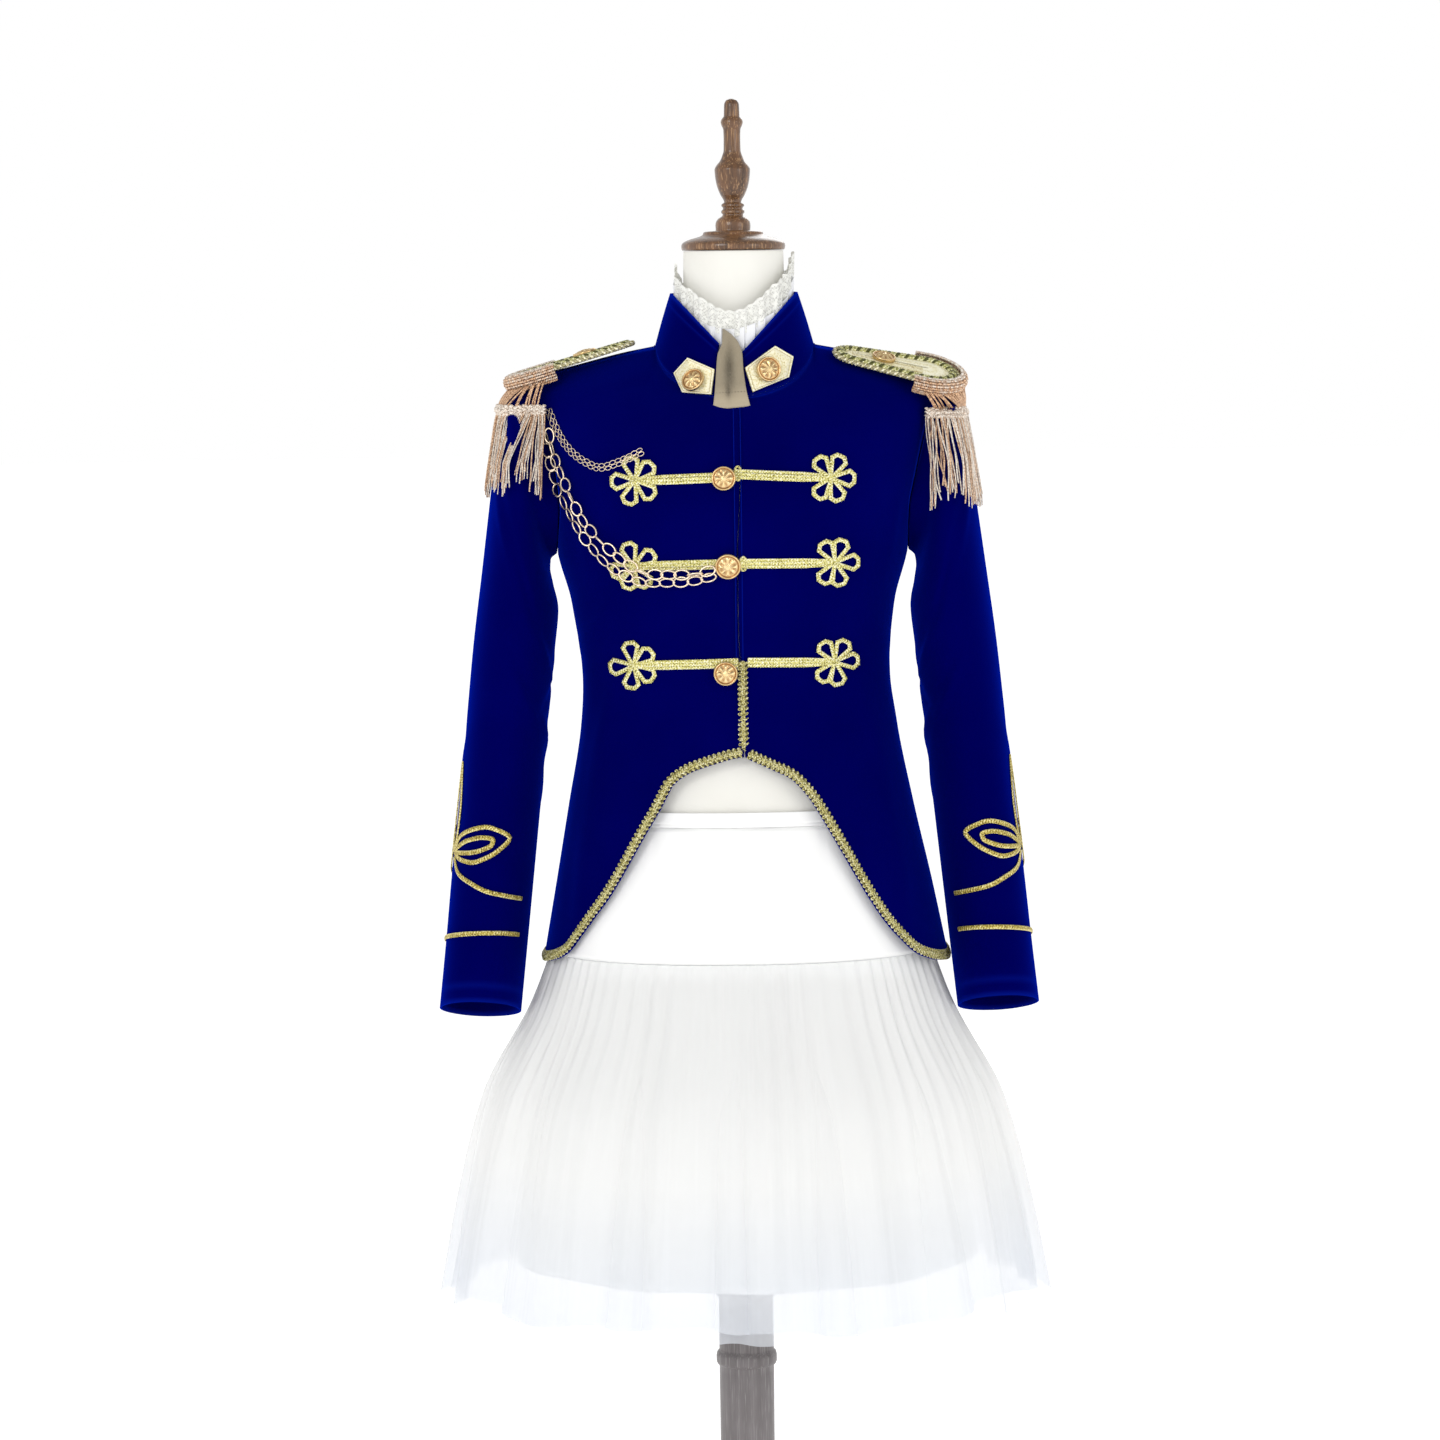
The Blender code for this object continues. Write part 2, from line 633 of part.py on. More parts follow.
def make_panels():
    pieces = {}
    for name, side in (("jacket_front_left", -1), ("jacket_front_right", 1)):
        pieces[name] = panel(name, half_panel(side, True, front_hem(side)), True)
    halves = [half_panel(side, False, back_hem) for side in (-1, 1)]
    grid = np.concatenate([halves[0][:, ::-1][:, ::2], halves[1][:, 2::2]], axis=1)
    pieces["jacket_back"] = panel("jacket_back", grid, False)
    return pieces


def sleeve_rings(side):
    """Rings of a sleeve from the armhole to the cuff."""
    arm_z = np.linspace(ARMPIT, SHOULDER_TIP, UPPER_ROWS + 1)
    arm_x = read(ARMHOLE, "z", "x", arm_z)
    front = np.stack([arm_x, body_y(arm_x, arm_z, True), arm_z], axis=1)
    back = np.stack([arm_x, body_y(arm_x, arm_z, False), arm_z], axis=1)
    loop = np.concatenate([front, back[-2:0:-1]])
    height = (loop[:, 2] - ARMPIT) / (SHOULDER_TIP - ARMPIT)
    loop[:, 0] += 0.0012
    loop[:, 2] += 0.0007 * (1 - height) ** 2
    rings = [loop * np.array([side, 1, 1]) + np.array([0, 0, 0])]
    rings[0][:, 0] += body("sway", rings[0][:, 2])
    turn = np.arange(SLEEVE_COLUMNS) * 2 * math.pi / SLEEVE_COLUMNS
    for i, r in enumerate(SLEEVE):
        middle = np.array([(r.in_x + r.out_x) / 2, r.y, (r.in_z + r.out_z) / 2])
        half = np.array([(r.out_x - r.in_x) / 2, 0, (r.out_z - r.in_z) / 2])
        ring = middle - np.cos(turn)[:, None] * half
        ring[:, 1] -= np.sin(turn) * r.half_depth
        ring[:, 2] -= (ring[:, 1] - r.y) * r.tilt
        sway = SLEEVE_SWAY * min(1.0, i / 3) + body("sway", 1.175) * max(0.0, 1 - i / 3)
        ring = ring * np.array([side, 1, 1]) + np.array([sway, 0, 0])
        rings.append(ring)
    return np.array(rings)


def make_sleeve(name, side):
    rings = sleeve_rings(side)
    centre = rings.mean(axis=1, keepdims=True)
    normal = grid_normals(rings, True, centre)
    return wall(name, rings, rings - normal * CLOTH, "velvet", True)


def neckline(angle):
    """Point of the jacket's neckline; the angle goes round from the middle of the front."""
    front = abs(angle) <= 90
    turn = math.radians(abs(angle) if front else 180 - abs(angle))
    neck_z = NECK_FRONT if front else NECK_BACK
    columns = np.linspace(0, math.pi / 2, NECK_COLUMNS + 1)[::1 if front else 2]
    x = NECK_HALF * np.sin(columns)
    z = neck_z + (NECK_POINT - neck_z) * (1 - np.cos(columns))
    y = body_y(x, z, front)
    at = NECK_HALF * math.sin(turn)
    return np.array([math.copysign(at, angle), np.interp(at, x, y), np.interp(at, x, z)])


# Collar and ruffle stand on the neckline
COLLAR_TOP_HALF = 0.0600
COLLAR_TOP_FRONT = -0.0665
COLLAR_TOP_BACK = 0.0540
COLLAR_V = 1.3570
COLLAR_SIDE = 1.4190
COLLAR_OPEN_LEFT = 14.0
COLLAR_OPEN_RIGHT = 5.0
COLLAR_COLUMNS = 24


def collar_top(angle):
    front = abs(angle) <= 90
    turn = math.radians(abs(angle) if front else 180 - abs(angle))
    x = math.copysign(COLLAR_TOP_HALF * math.sin(turn), angle)
    y = (COLLAR_TOP_FRONT if front else COLLAR_TOP_BACK) * math.cos(turn)
    low = COLLAR_V if front else COLLAR_SIDE + 0.006
    return np.array([x, y, low + (COLLAR_SIDE - low) * math.sin(turn)])


def make_collar():
    angles = np.linspace(-360 + COLLAR_OPEN_RIGHT, -COLLAR_OPEN_LEFT, COLLAR_COLUMNS + 1)
    angles = [a + 360 if a < -180 else a for a in angles]
    outer = []
    for share in (0.0, 0.5, 1.0):
        row = []
        for a in angles:
            low = neckline(a) + np.array([0, 0, 0.0012])
            high = collar_top(a)
            bow = 0.0025 * math.sin(math.pi * share)
            point = low * (1 - share) + high * share
            point[:2] *= 1 + bow / max(np.linalg.norm(point[:2]), 1e-6)
            row.append(point)
        outer.append(row)
    outer = np.array(outer)
    centre = np.array([0, 0, 1.37])
    normal = grid_normals(outer, False, centre)
    normal[..., 2] = 0
    normal /= np.linalg.norm(normal, axis=2, keepdims=True)
    return wall("jacket_collar", outer, outer - normal * CLOTH, "velvet", False)


RUFFLE_WAVES = 34
RUFFLE_WAVE = 0.0011


def make_ruffle():
    """Pleated satin band that stands inside the collar, dipping to a point at the front."""
    count = 2 * RUFFLE_WAVES
    outer = []
    for share in (0.0, 1.0):
        row = []
        for k in range(count):
            angle = k * 360 / count
            angle = angle - 360 if angle > 180 else angle
            edge = collar_top(angle)
            dip = math.cos(math.radians(angle)) if abs(angle) < 90 else 0.0
            side = math.sin(math.radians(angle))
            top = 1.4400 - 0.0500 * dip ** 0.8 + 0.005 * side
            bottom = edge[2] - 0.022 - 0.006 * dip
            wave = RUFFLE_WAVE * (1 if k % 2 else -1) * (0.5 + 0.7 * share)
            ring = np.linalg.norm(edge[:2])
            radius = ring - 0.0052 + wave + 0.0012 * share
            point = np.array([edge[0] / ring * radius, edge[1] / ring * radius, 0.0])
            point[2] = bottom + (top - bottom) * share
            row.append(point)
        outer.append(row)
    outer = np.array(outer)
    away = outer * np.array([1, 1, 0])
    away /= np.linalg.norm(away, axis=2, keepdims=True)
    return wall("neck_ruffle", outer, outer - away * 0.0010, "satin", True)


Tab = namedtuple("Tab", "z left right")
THROAT = (
    Tab(1.3850, -0.0116, 0.0014),
    Tab(1.3650, -0.0140, 0.0040),
    Tab(1.3400, -0.0175, 0.0085),
    Tab(1.3145, -0.0200, 0.0135),
)
TAB_FOLD = 0.0030


def make_throat_tab(under):
    """Short cloth tab with a soft fold down its middle, which hangs from the ruffle onto the fronts."""
    top, bottom = THROAT[0], THROAT[-1]
    ends = []
    for row in (top, bottom):
        ends.append([under.front(x, row.z, LIGHT_CLOTH + REST)[1] for x in (row.left, row.right)])
    outer = []
    for row in THROAT:
        share = (top.z - row.z) / (top.z - bottom.z)
        left, right = [ends[0][i] * (1 - share) + ends[1][i] * share for i in (0, 1)]
        middle = (row.left + row.right) / 2
        outer.append([
            (row.left, left, row.z),
            (middle, (left + right) / 2 - TAB_FOLD, row.z - 0.0010),
            (row.right, right, row.z),
        ])
    outer = np.array(outer)
    inner = outer + np.array([0, LIGHT_CLOTH, 0])
    return wall("throat_tab", outer, inner, "taupe", False)


# Trims
def frog_outline(reach, bar):
    """Knot of five loops at the origin with a bar along +X, and the five openings."""
    polar = lambda r, a: (r * math.cos(math.radians(a)), r * math.sin(math.radians(a)))
    outline = []
    holes = []
    for k in range(5):
        middle = 60 + 60 * k
        for radius, turn in ((0.83, -20), (1.0, -8), (1.0, 8), (0.83, 20)):
            outline.append(polar(reach * radius, middle + turn))
        if k < 4:
            outline.append(polar(reach * 0.52, middle + 30))
        holes.append([polar(reach * 0.27, middle), polar(reach * 0.74, middle + 17),
                      polar(reach * 0.74, middle - 17)])
    steps = max(2, round((bar - reach * 0.6) / 0.014))
    runs = np.linspace(reach * 0.60, bar, steps + 1)
    outline += [(float(x), -BAR_HALF) for x in runs]
    outline += [(float(x), BAR_HALF) for x in runs[::-1]]
    return outline, holes


def make_frog(frog, surface):
    run = np.array([frog.end_x - frog.knot_x, frog.end_z - frog.knot_z])
    bar = float(np.linalg.norm(run))
    run /= bar
    outline, holes = frog_outline(PETAL_REACH, bar)

    def lay(a, b, lift):
        x = frog.knot_x + run[0] * a - run[1] * b
        z = frog.knot_z + run[1] * a + run[0] * b
        return surface.front(x, z, lift)

    return plate(frog.name, [outline], holes, lay, TRIM, "gold_braid", rest=FROG_REST)


BUTTON_SIDES = 10


def make_button(name, place, normal, radius):
    """Domed metal button with a rim."""
    profile = ((0.92, 0.0000), (1.00, 0.0014), (0.88, 0.0034), (0.78, 0.0029))
    up = Vector(normal).normalized()
    turn = up.to_track_quat("Z", "Y")
    points = []
    for share, height in profile:
        for k in range(BUTTON_SIDES):
            a = 2 * math.pi * k / BUTTON_SIDES
            local = Vector((radius * share * math.cos(a), radius * share * math.sin(a), height))
            points.append(np.array(turn @ local) + place)
    points.append(np.array(up) * 0.0046 + place)
    ids = np.arange(len(profile) * BUTTON_SIDES).reshape(len(profile), BUTTON_SIDES)
    looped = np.concatenate([ids, ids[:, :1]], axis=1)
    faces = []
    for r in range(len(profile) - 1):
        faces += quads(looped[r].tolist(), looped[r + 1].tolist())
    for k in range(1, BUTTON_SIDES - 1):
        faces.append((int(ids[0, 0]), int(ids[0, k + 1]), int(ids[0, k])))
    tip = len(points) - 1
    for k in range(BUTTON_SIDES):
        faces.append((int(looped[-1, k]), int(looped[-1, k + 1]), tip))
    return add(name, points, faces, "button_gold", smooth=True)


def make_front_buttons(surface):
    for button in FRONT_BUTTONS:
        place, normal, _ = surface.hit((button.x, -1.0, button.z), (0, 1, 0))
        make_button(button.name, place + normal * button.lift, normal, button.radius)


def make_collar_tabs(surface):
    """Pointed tabs with a button at the collar's front ends."""
    outlines = {
        "collar_tab_left": [(-0.0560, 1.3440), (-0.0425, 1.3585), (-0.0175, 1.3475), (-0.0205, 1.3240),
                            (-0.0480, 1.3262)],
        "collar_tab_right": [(0.0078, 1.3490), (0.0362, 1.3690), (0.0535, 1.3585), (0.0490, 1.3395),
                             (0.0145, 1.3262)],
    }
    for name, outline in outlines.items():
        edge, spread = refined(outline, 0.009)
        plate(name, [edge], [], surface.front, TRIM, "pale_gold", spread=spread, rest=0.0014)


def make_collar_buttons(surface):
    for button in COLLAR_BUTTONS:
        place, normal, _ = surface.hit((button.x, -1.0, button.z), (0, 1, 0))
        make_button(button.name, place + normal * button.lift, normal, button.radius)


HEM_BRAID = 0.0095
BRAID_REST = 0.0009


def hem_braid(name, points, surface, axis_y=0.0):
    """Braid sewn along a hem; points run along the cloth's edge."""
    points = np.asarray(points)
    heading = np.gradient(points, axis=0)
    heading /= np.linalg.norm(heading, axis=1, keepdims=True)
    away = points * np.array([1, 1, 0])
    away /= np.linalg.norm(away, axis=1, keepdims=True)
    inward = np.cross(heading, away)
    inward *= np.sign(inward[:, 2:3] + 1e-9)

    def edge(distance):
        moved = points + inward * distance
        return lambda lift: np.array([surface.inwards(p, (0, axis_y), lift) for p in moved])

    return strip(name, edge(0.0006), edge(HEM_BRAID), BRAID_REST, TRIM, "gold_braid")


def hem_points(side, trim, step):
    """Evenly spaced points along a front's lower edge, from the middle to the side seam."""
    edge = half_panel(side, True, front_hem(side))[0]
    run = np.concatenate([[0], np.cumsum(np.linalg.norm(np.diff(edge, axis=0), axis=1))])
    at = np.linspace(trim, run[-1] - 0.0012, max(4, round((run[-1] - trim) / step)))
    return np.stack([np.interp(at, run, edge[:, i]) for i in range(3)], axis=1)


def back_hem_points():
    """Points along the back's lower edge, at each of its columns and midway."""
    halves = [half_panel(side, False, back_hem)[0][::2] for side in (-1, 1)]
    edge = np.concatenate([halves[0][::-1], halves[1][1:]])
    edge[0] += (edge[1] - edge[0]) * 0.03
    edge[-1] += (edge[-2] - edge[-1]) * 0.03
    middles = (edge[:-1] + edge[1:]) / 2
    points = np.empty((len(edge) + len(middles), 3))
    points[::2] = edge
    points[1::2] = middles
    return points


def make_hem_braids(surfaces):
    for name, side in (("left", -1), ("right", 1)):
        hem_braid("hem_braid_" + name, hem_points(side, 0.0006, 0.0145), surfaces[name])
    hem_braid("hem_braid_back", back_hem_points(), surfaces["back"])


def make_front_braid(surface):
    """Short upright braid over the closing, from the lowest frog down to the hem."""
    z = np.linspace(1.0690, 1.0020, 7)
    left = lambda lift: np.array([surface.front(CLOSING - 0.0052, h, lift) for h in z])
    right = lambda lift: np.array([surface.front(CLOSING + 0.0043, h, lift) for h in z])
    strip("front_braid", left, right, REST, TRIM, "gold_braid")


def stroke(points, width):
    """Outlines, one for each stretch, of a braid laid along the points."""
    points = np.asarray(points, float)
    heading = np.gradient(points, axis=0)
    heading /= np.linalg.norm(heading, axis=1, keepdims=True)
    across = np.stack([-heading[:, 1], heading[:, 0]], axis=1) * width / 2
    left = points + across
    right = points - across
    outlines = []
    for k in range(len(points) - 1):
        outlines.append([tuple(left[k]), tuple(left[k + 1]), tuple(right[k + 1]), tuple(right[k])])
    return outlines


# Sleeve knots, drawn on the unrolled sleeve: arc from the knot's middle line, height over the knot
KNOT_MIDDLE = -72.0
KNOT_Z = 0.8920
KNOT_RADIUS = 0.0445
KNOT_BRAID = 0.0045
SLEEVE_REST = 0.0011
LEAF = ((0.002, 0.001), (0.012, 0.019), (0.028, 0.024), (0.046, 0.019), (0.058, 0.010),
        (0.046, -0.003), (0.030, -0.012), (0.014, -0.012), (0.002, -0.001))
SPIRE = ((0.000, 0.000), (0.007, 0.020), (0.008, 0.045), (0.004, 0.070), (0.000, 0.090))
TAIL = ((0.003, -0.003), (0.004, -0.016), (0.016, -0.030), (0.038, -0.040), (0.068, -0.046))
CUFF_LINE_Z = 0.8080


def sleeve_point(surface, side, arc, height, lift):
    """Point on a sleeve at an arc from the knot's middle line and a height over the knot."""
    z = KNOT_Z + height
    rings = SLEEVE[3:]
    in_x, out_x = read(rings, "in_z", "in_x", z), read(rings, "in_z", "out_x", z)
    axis = (side * float(in_x + out_x) / 2 + SLEEVE_SWAY, float(read(rings, "in_z", "y", z)))
    angle = math.radians(KNOT_MIDDLE) + arc / KNOT_RADIUS
    wide = float(out_x - in_x) / 2
    deep = float(read(rings, "in_z", "half_depth", z))
    probe = (axis[0] - side * math.sin(angle) * wide, axis[1] - math.cos(angle) * deep, z)
    return surface.inwards(probe, axis, lift)


def make_sleeve_trim(name, side, surface):
    outlines = []
    for way in (1, -1):
        for shape in (LEAF, SPIRE, TAIL):
            outlines += stroke([(way * a, b) for a, b in shape], KNOT_BRAID)
    columns = np.arange(-180, 61, 30)
    creases = [((math.radians(a - KNOT_MIDDLE) * KNOT_RADIUS, low), (math.radians(a - KNOT_MIDDLE) * KNOT_RADIUS, high))
               for a in columns for low, high in ((-0.06, 0.10),)]
    lay = lambda a, b, lift: sleeve_point(surface, side, a, b, lift)
    plate("sleeve_knot_" + name, outlines, [], lay, 0.0014, "gold_braid", creases=creases, rest=SLEEVE_REST)
    arcs = np.radians(np.arange(45, -196, -15) - KNOT_MIDDLE) * KNOT_RADIUS
    line = CUFF_LINE_Z - KNOT_Z
    low = lambda lift: np.array([sleeve_point(surface, side, a, line, lift) for a in arcs])
    high = lambda lift: np.array([sleeve_point(surface, side, a, line + KNOT_BRAID, lift) for a in arcs])
    strip("cuff_line_" + name, low, high, SLEEVE_REST, 0.0014, "gold_braid")


# Chains: flat links joined end to end
def chain_lift(x, base):
    """Chains lie on the cloth, and over the knots nearer the middle."""
    return base + 0.0021 * float(np.clip((x + 0.132) / 0.008, 0, 1))


def make_chain(name, route, base, surface):
    centre = along([(r.x, r.z) for r in route], 6 * LINKS + 1)
    heading = np.gradient(centre, axis=0)
    heading /= np.linalg.norm(heading, axis=1, keepdims=True)
    across = np.stack([-heading[:, 1], heading[:, 0]], axis=1)
    rows = []
    for k in range(6 * LINKS + 1):
        phase = k % 6
        if phase in (1, 3, 5):
            continue
        wide = 0.0 if phase == 0 else LINK_HALF
        rows.append((centre[k], across[k], wide))
    points = []
    faces = []
    for middle, sideways, wide in rows:
        outer = max(wide, WIRE / 2 + 0.0002)
        inner = max(wide - WIRE, 0.0)
        spots = (outer, -outer) if wide == 0 else (outer, inner, -inner, -outer)
        for level in (0.0, WIRE):
            for spot in spots:
                x, z = middle + sideways * spot
                points.append(surface.front(x, z, chain_lift(x, base) + level))
    cursor = 0
    numbers = []
    for _, _, wide in rows:
        size = 2 if wide == 0 else 4
        numbers.append([list(range(cursor, cursor + size)), list(range(cursor + size, cursor + 2 * size))])
        cursor += 2 * size

    def bar(a, b):
        """Four sided bar between two sections (low left, low right, high right, high left)."""
        for i in range(4):
            j = (i + 1) % 4
            faces.append((a[i], b[i], b[j]))
            faces.append((a[i], b[j], a[j]))

    for k in range(len(rows) - 1):
        (low, high), (low2, high2) = numbers[k], numbers[k + 1]
        if len(low) == 4 and len(low2) == 4:
            for i in (0, 2):
                bar((low[i], low[i + 1], high[i + 1], high[i]), (low2[i], low2[i + 1], high2[i + 1], high2[i]))
        elif len(low) == 2:
            faces += fork(low, high, low2, high2)
        else:
            faces += [face[::-1] for face in fork(low2, high2, low, high)]
    for numbers_at, turned in ((numbers[0], False), (numbers[-1], True)):
        low, high = numbers_at
        ends = [(low[0], low[1], high[1]), (low[0], high[1], high[0])]
        faces += [face[::-1] for face in ends] if turned else ends
    return add(name, points, faces, "chain_gold")


def fork(low, high, low2, high2):
    """Faces where a joint of two points opens into the four points of a link's two sides."""
    return [
        (low[0], low2[0], low2[1]), (low[0], low2[1], low[1]),
        (low[1], low2[1], low2[2]), (low[1], low2[2], low2[3]),
        (high[0], high2[1], high2[0]), (high[0], high[1], high2[1]),
        (high[1], high2[2], high2[1]), (high[1], high2[3], high2[2]),
        (low[0], high[0], high2[0]), (low[0], high2[0], low2[0]),
        (low[1], low2[3], high2[3]), (low[1], high2[3], high[1]),
        (low2[1], high2[1], high2[2]), (low2[1], high2[2], low2[2]),
    ]


def make_fine_chain(surface):
    centre = along([(r.x, r.z) for r in FINE_CHAIN], 15)
    heading = np.gradient(centre, axis=0)
    heading /= np.linalg.norm(heading, axis=1, keepdims=True)
    across = np.stack([-heading[:, 1], heading[:, 0]], axis=1)

    def edge(distance):
        spots = centre + across * distance
        return lambda lift: np.array([surface.front(x, z, chain_lift(x, lift)) for x, z in spots])

    strip("fine_chain", edge(0.0032), edge(-0.0032), REST + 0.0002, 0.0016, "chain_gold")


# Epaulettes
BOARD_LENGTH = 0.1270
BOARD_STEPS = 7


def board_outline(inset, first=0, last=360):
    """Tapered outline with round ends in the board's plane, the outer end at angle 0."""
    inner = (BOARD_INNER, BOARD_INNER - inset)
    outer = (BOARD_LENGTH - BOARD_OUTER, BOARD_OUTER - inset)
    points = []
    for k in range(BOARD_STEPS + 1):
        a = math.radians(-90 + 180 * k / BOARD_STEPS)
        points.append((outer[0] + outer[1] * math.cos(a), outer[1] * math.sin(a)))
    for k in range(BOARD_STEPS + 1):
        a = math.radians(90 + 180 * k / BOARD_STEPS)
        points.append((inner[0] + inner[1] * math.cos(a), inner[1] * math.sin(a)))
    return points


class Board:
    """The plane of an epaulette, set down on the shoulder."""

    def __init__(self, shoulder, surface):
        side = shoulder.side
        inner = np.array([side * shoulder.inner_x, shoulder.y, shoulder.inner_z])
        outer = np.array([side * shoulder.outer_x, shoulder.y, shoulder.outer_z])
        self.along = (outer - inner) / np.linalg.norm(outer - inner)
        tilt = math.radians(shoulder.tilt)
        level = np.array([0, 1.0, 0])
        rise = np.cross(self.along, level) if side < 0 else np.cross(level, self.along) * -1
        rise = rise if rise[2] > 0 else -rise
        self.across = level * math.cos(tilt) + rise * math.sin(tilt)
        self.rise = np.cross(self.along, self.across)
        self.rise = self.rise if self.rise[2] > 0 else -self.rise
        self.start = inner
        need = -1.0
        middle = [(a, b) for a in np.linspace(0, BOARD_LENGTH, 15) for b in np.linspace(-0.02, 0.02, 9)]
        for a, b in board_outline(-0.001) + board_outline(0.010) + middle:
            spot = self.at(a, b, 0.0)
            for aside in (-0.0012, 0.0, 0.0012):
                found = surface.hit((spot[0], spot[1] + aside, 2.0), (0, 0, -1))
                if found is not None:
                    need = max(need, found[0][2] - spot[2])
        self.start = inner + np.array([0, 0, need + 0.0006])

    def at(self, a, b, height):
        return self.start + self.along * a + self.across * b + self.rise * height


def loop_ring(name, board, outset, inset, low, high, finish):
    """Ring of braid round the board between two insets."""
    outline = [board_outline(inset), board_outline(outset)]
    left = lambda lift: np.array([board.at(a, b, lift) for a, b in outline[0]])
    right = lambda lift: np.array([board.at(a, b, lift) for a, b in outline[1]])
    return strip(name, left, right, low, high - low, finish, closed=True)


CRESCENT_START = 0.0780


def crescent_line(outset):
    """Line round the board's outer end, from one straight side to the other."""
    share = (CRESCENT_START - BOARD_INNER) / (BOARD_LENGTH - BOARD_OUTER - BOARD_INNER)
    half = BOARD_INNER + (BOARD_OUTER - BOARD_INNER) * share + outset
    centre = BOARD_LENGTH - BOARD_OUTER
    reach = BOARD_OUTER + outset
    turn = np.radians(np.linspace(-90, 90, 13))
    points = [(CRESCENT_START, -half)]
    points += [(centre + reach * math.cos(a), reach * math.sin(a)) for a in turn]
    points.append((CRESCENT_START, half))
    return points


def make_crescent(name, board):
    """Roll of bullion round the outer end, outside the edge rope."""
    inner = lambda lift: np.array([board.at(a, b, lift) for a, b in crescent_line(0.0008)])
    outer = lambda lift: np.array([board.at(a, b, lift) for a, b in crescent_line(0.0085)])
    strip(name, inner, outer, -0.0010, 0.0085, "copper_bullion")


def make_fringe(name, side, surface, board):
    """Heading band round the shoulder cap, the locks that hang from it and the threads over it."""
    axis = (side * 0.172, 0.0)
    steps = 2 * FRINGE_LOCKS + 1
    turn = np.linspace(-FRINGE_SPREAD, FRINGE_SPREAD, steps + 1)
    depth = 0.0018

    def spot(angle, z, lift):
        a = math.radians(angle)
        probe = np.array([axis[0] + side * math.cos(a) * 0.1, math.sin(a) * 0.1, z])
        return surface.inwards(probe, axis, lift)

    def lift(angle):
        front = float(np.clip((-angle - 35) / 25, 0, 1))
        back = float(np.clip((angle - 55) / 25, 0, 1))
        return 0.0056 + 0.0085 * front + 0.0015 * back

    points = []
    for z in (FRINGE_TOP, FRINGE_BOTTOM):
        for extra in (0.0, depth):
            points += [spot(a, z, lift(a) + extra) for a in turn]
    count = steps + 1
    top_in, top_out, low_in, low_out = [list(range(count * k, count * (k + 1))) for k in range(4)]
    faces = quads(top_out, low_out) + quads(low_in, top_in)
    faces += [(top_in[0], top_out[0], low_out[0]), (top_in[0], low_out[0], low_in[0])]
    faces += [(top_in[-1], low_out[-1], top_out[-1]), (top_in[-1], low_in[-1], low_out[-1])]
    for k in range(steps):
        corners = [top_in[k], top_in[k + 1], top_out[k + 1], top_out[k]]
        if k % 4 == 1:
            angle = math.radians(max(-88, min(88, (turn[k] + turn[k + 1]) / 2)))
            ends = []
            for reach, aside in ((0.0360, -0.035), (0.0360, 0.035), (0.0384, 0.035), (0.0384, -0.035)):
                u = BOARD_LENGTH - BOARD_OUTER + reach * math.cos(angle + aside)
                end = board.at(u, reach * math.sin(angle + aside), -0.0016)
                ends.append(surface.outside(end, axis, reach - 0.0340))
            new = list(range(len(points), len(points) + 4))
            points += ends
            for i in range(4):
                j = (i + 1) % 4
                faces.append((corners[i], corners[j], new[j]))
                faces.append((corners[i], new[j], new[i]))
            corners = new
        faces += [(corners[0], corners[1], corners[2]), (corners[0], corners[2], corners[3])]
        corners = [low_out[k], low_out[k + 1], low_in[k + 1], low_in[k]]
        if k % 2 == 0:
            faces += [(corners[0], corners[1], corners[2]), (corners[0], corners[2], corners[3])]
            continue
        middle = (turn[k] + turn[k + 1]) / 2
        end_z = FRINGE_END - 0.008 * math.sin(k * 2.3) - 0.004 * math.sin(k * 0.9)
        for z in ((FRINGE_BOTTOM + end_z) / 2, end_z):
            inner = spot(middle, z, lift(middle) + 0.0006 + 0.0020 * (FRINGE_BOTTOM - z) / 0.074)
            heading = inner - np.array([axis[0], axis[1], z])
            heading /= np.linalg.norm(heading)
            sideways = np.array([-heading[1], heading[0], 0]) * 0.0012
            ring = [inner + heading * depth - sideways, inner + heading * depth + sideways,
                    inner + sideways, inner - sideways]
            base = points[corners[1]] - points[corners[0]]
            if np.dot(base, sideways) < 0:
                ring = [ring[1], ring[0], ring[3], ring[2]]
            new = list(range(len(points), len(points) + 4))
            points += ring
            for i in range(4):
                j = (i + 1) % 4
                faces.append((corners[i], corners[j], new[j]))
                faces.append((corners[i], new[j], new[i]))
            corners = new
        faces += [(corners[0], corners[1], corners[2]), (corners[0], corners[2], corners[3])]
    add(name, points, faces, "copper_bullion")


def make_epaulette(shoulder, surface):
    board = Board(shoulder, surface)
    name = shoulder.name
    lay = lambda a, b, lift: board.at(a, b, lift)
    panel_outline = board_outline(0.0082)
    plate("epaulette_board_" + name, [panel_outline], [], lay, 0.0030, "pale_gold")
    loop_ring("epaulette_braid_" + name, board, 0.0040, 0.0078, REST, 0.0052, "gold_braid")
    loop_ring("epaulette_rope_" + name, board, 0.0000, 0.0036, REST, 0.0042, "pale_gold")
    make_crescent("epaulette_crescent_" + name, board)
    spot = board.at(0.048, 0.001, REST + 0.0030 + 0.0005)
    make_button("epaulette_button_" + name, spot, board.rise, 0.0112)
    make_fringe("epaulette_fringe_" + name, shoulder.side, surface, board)


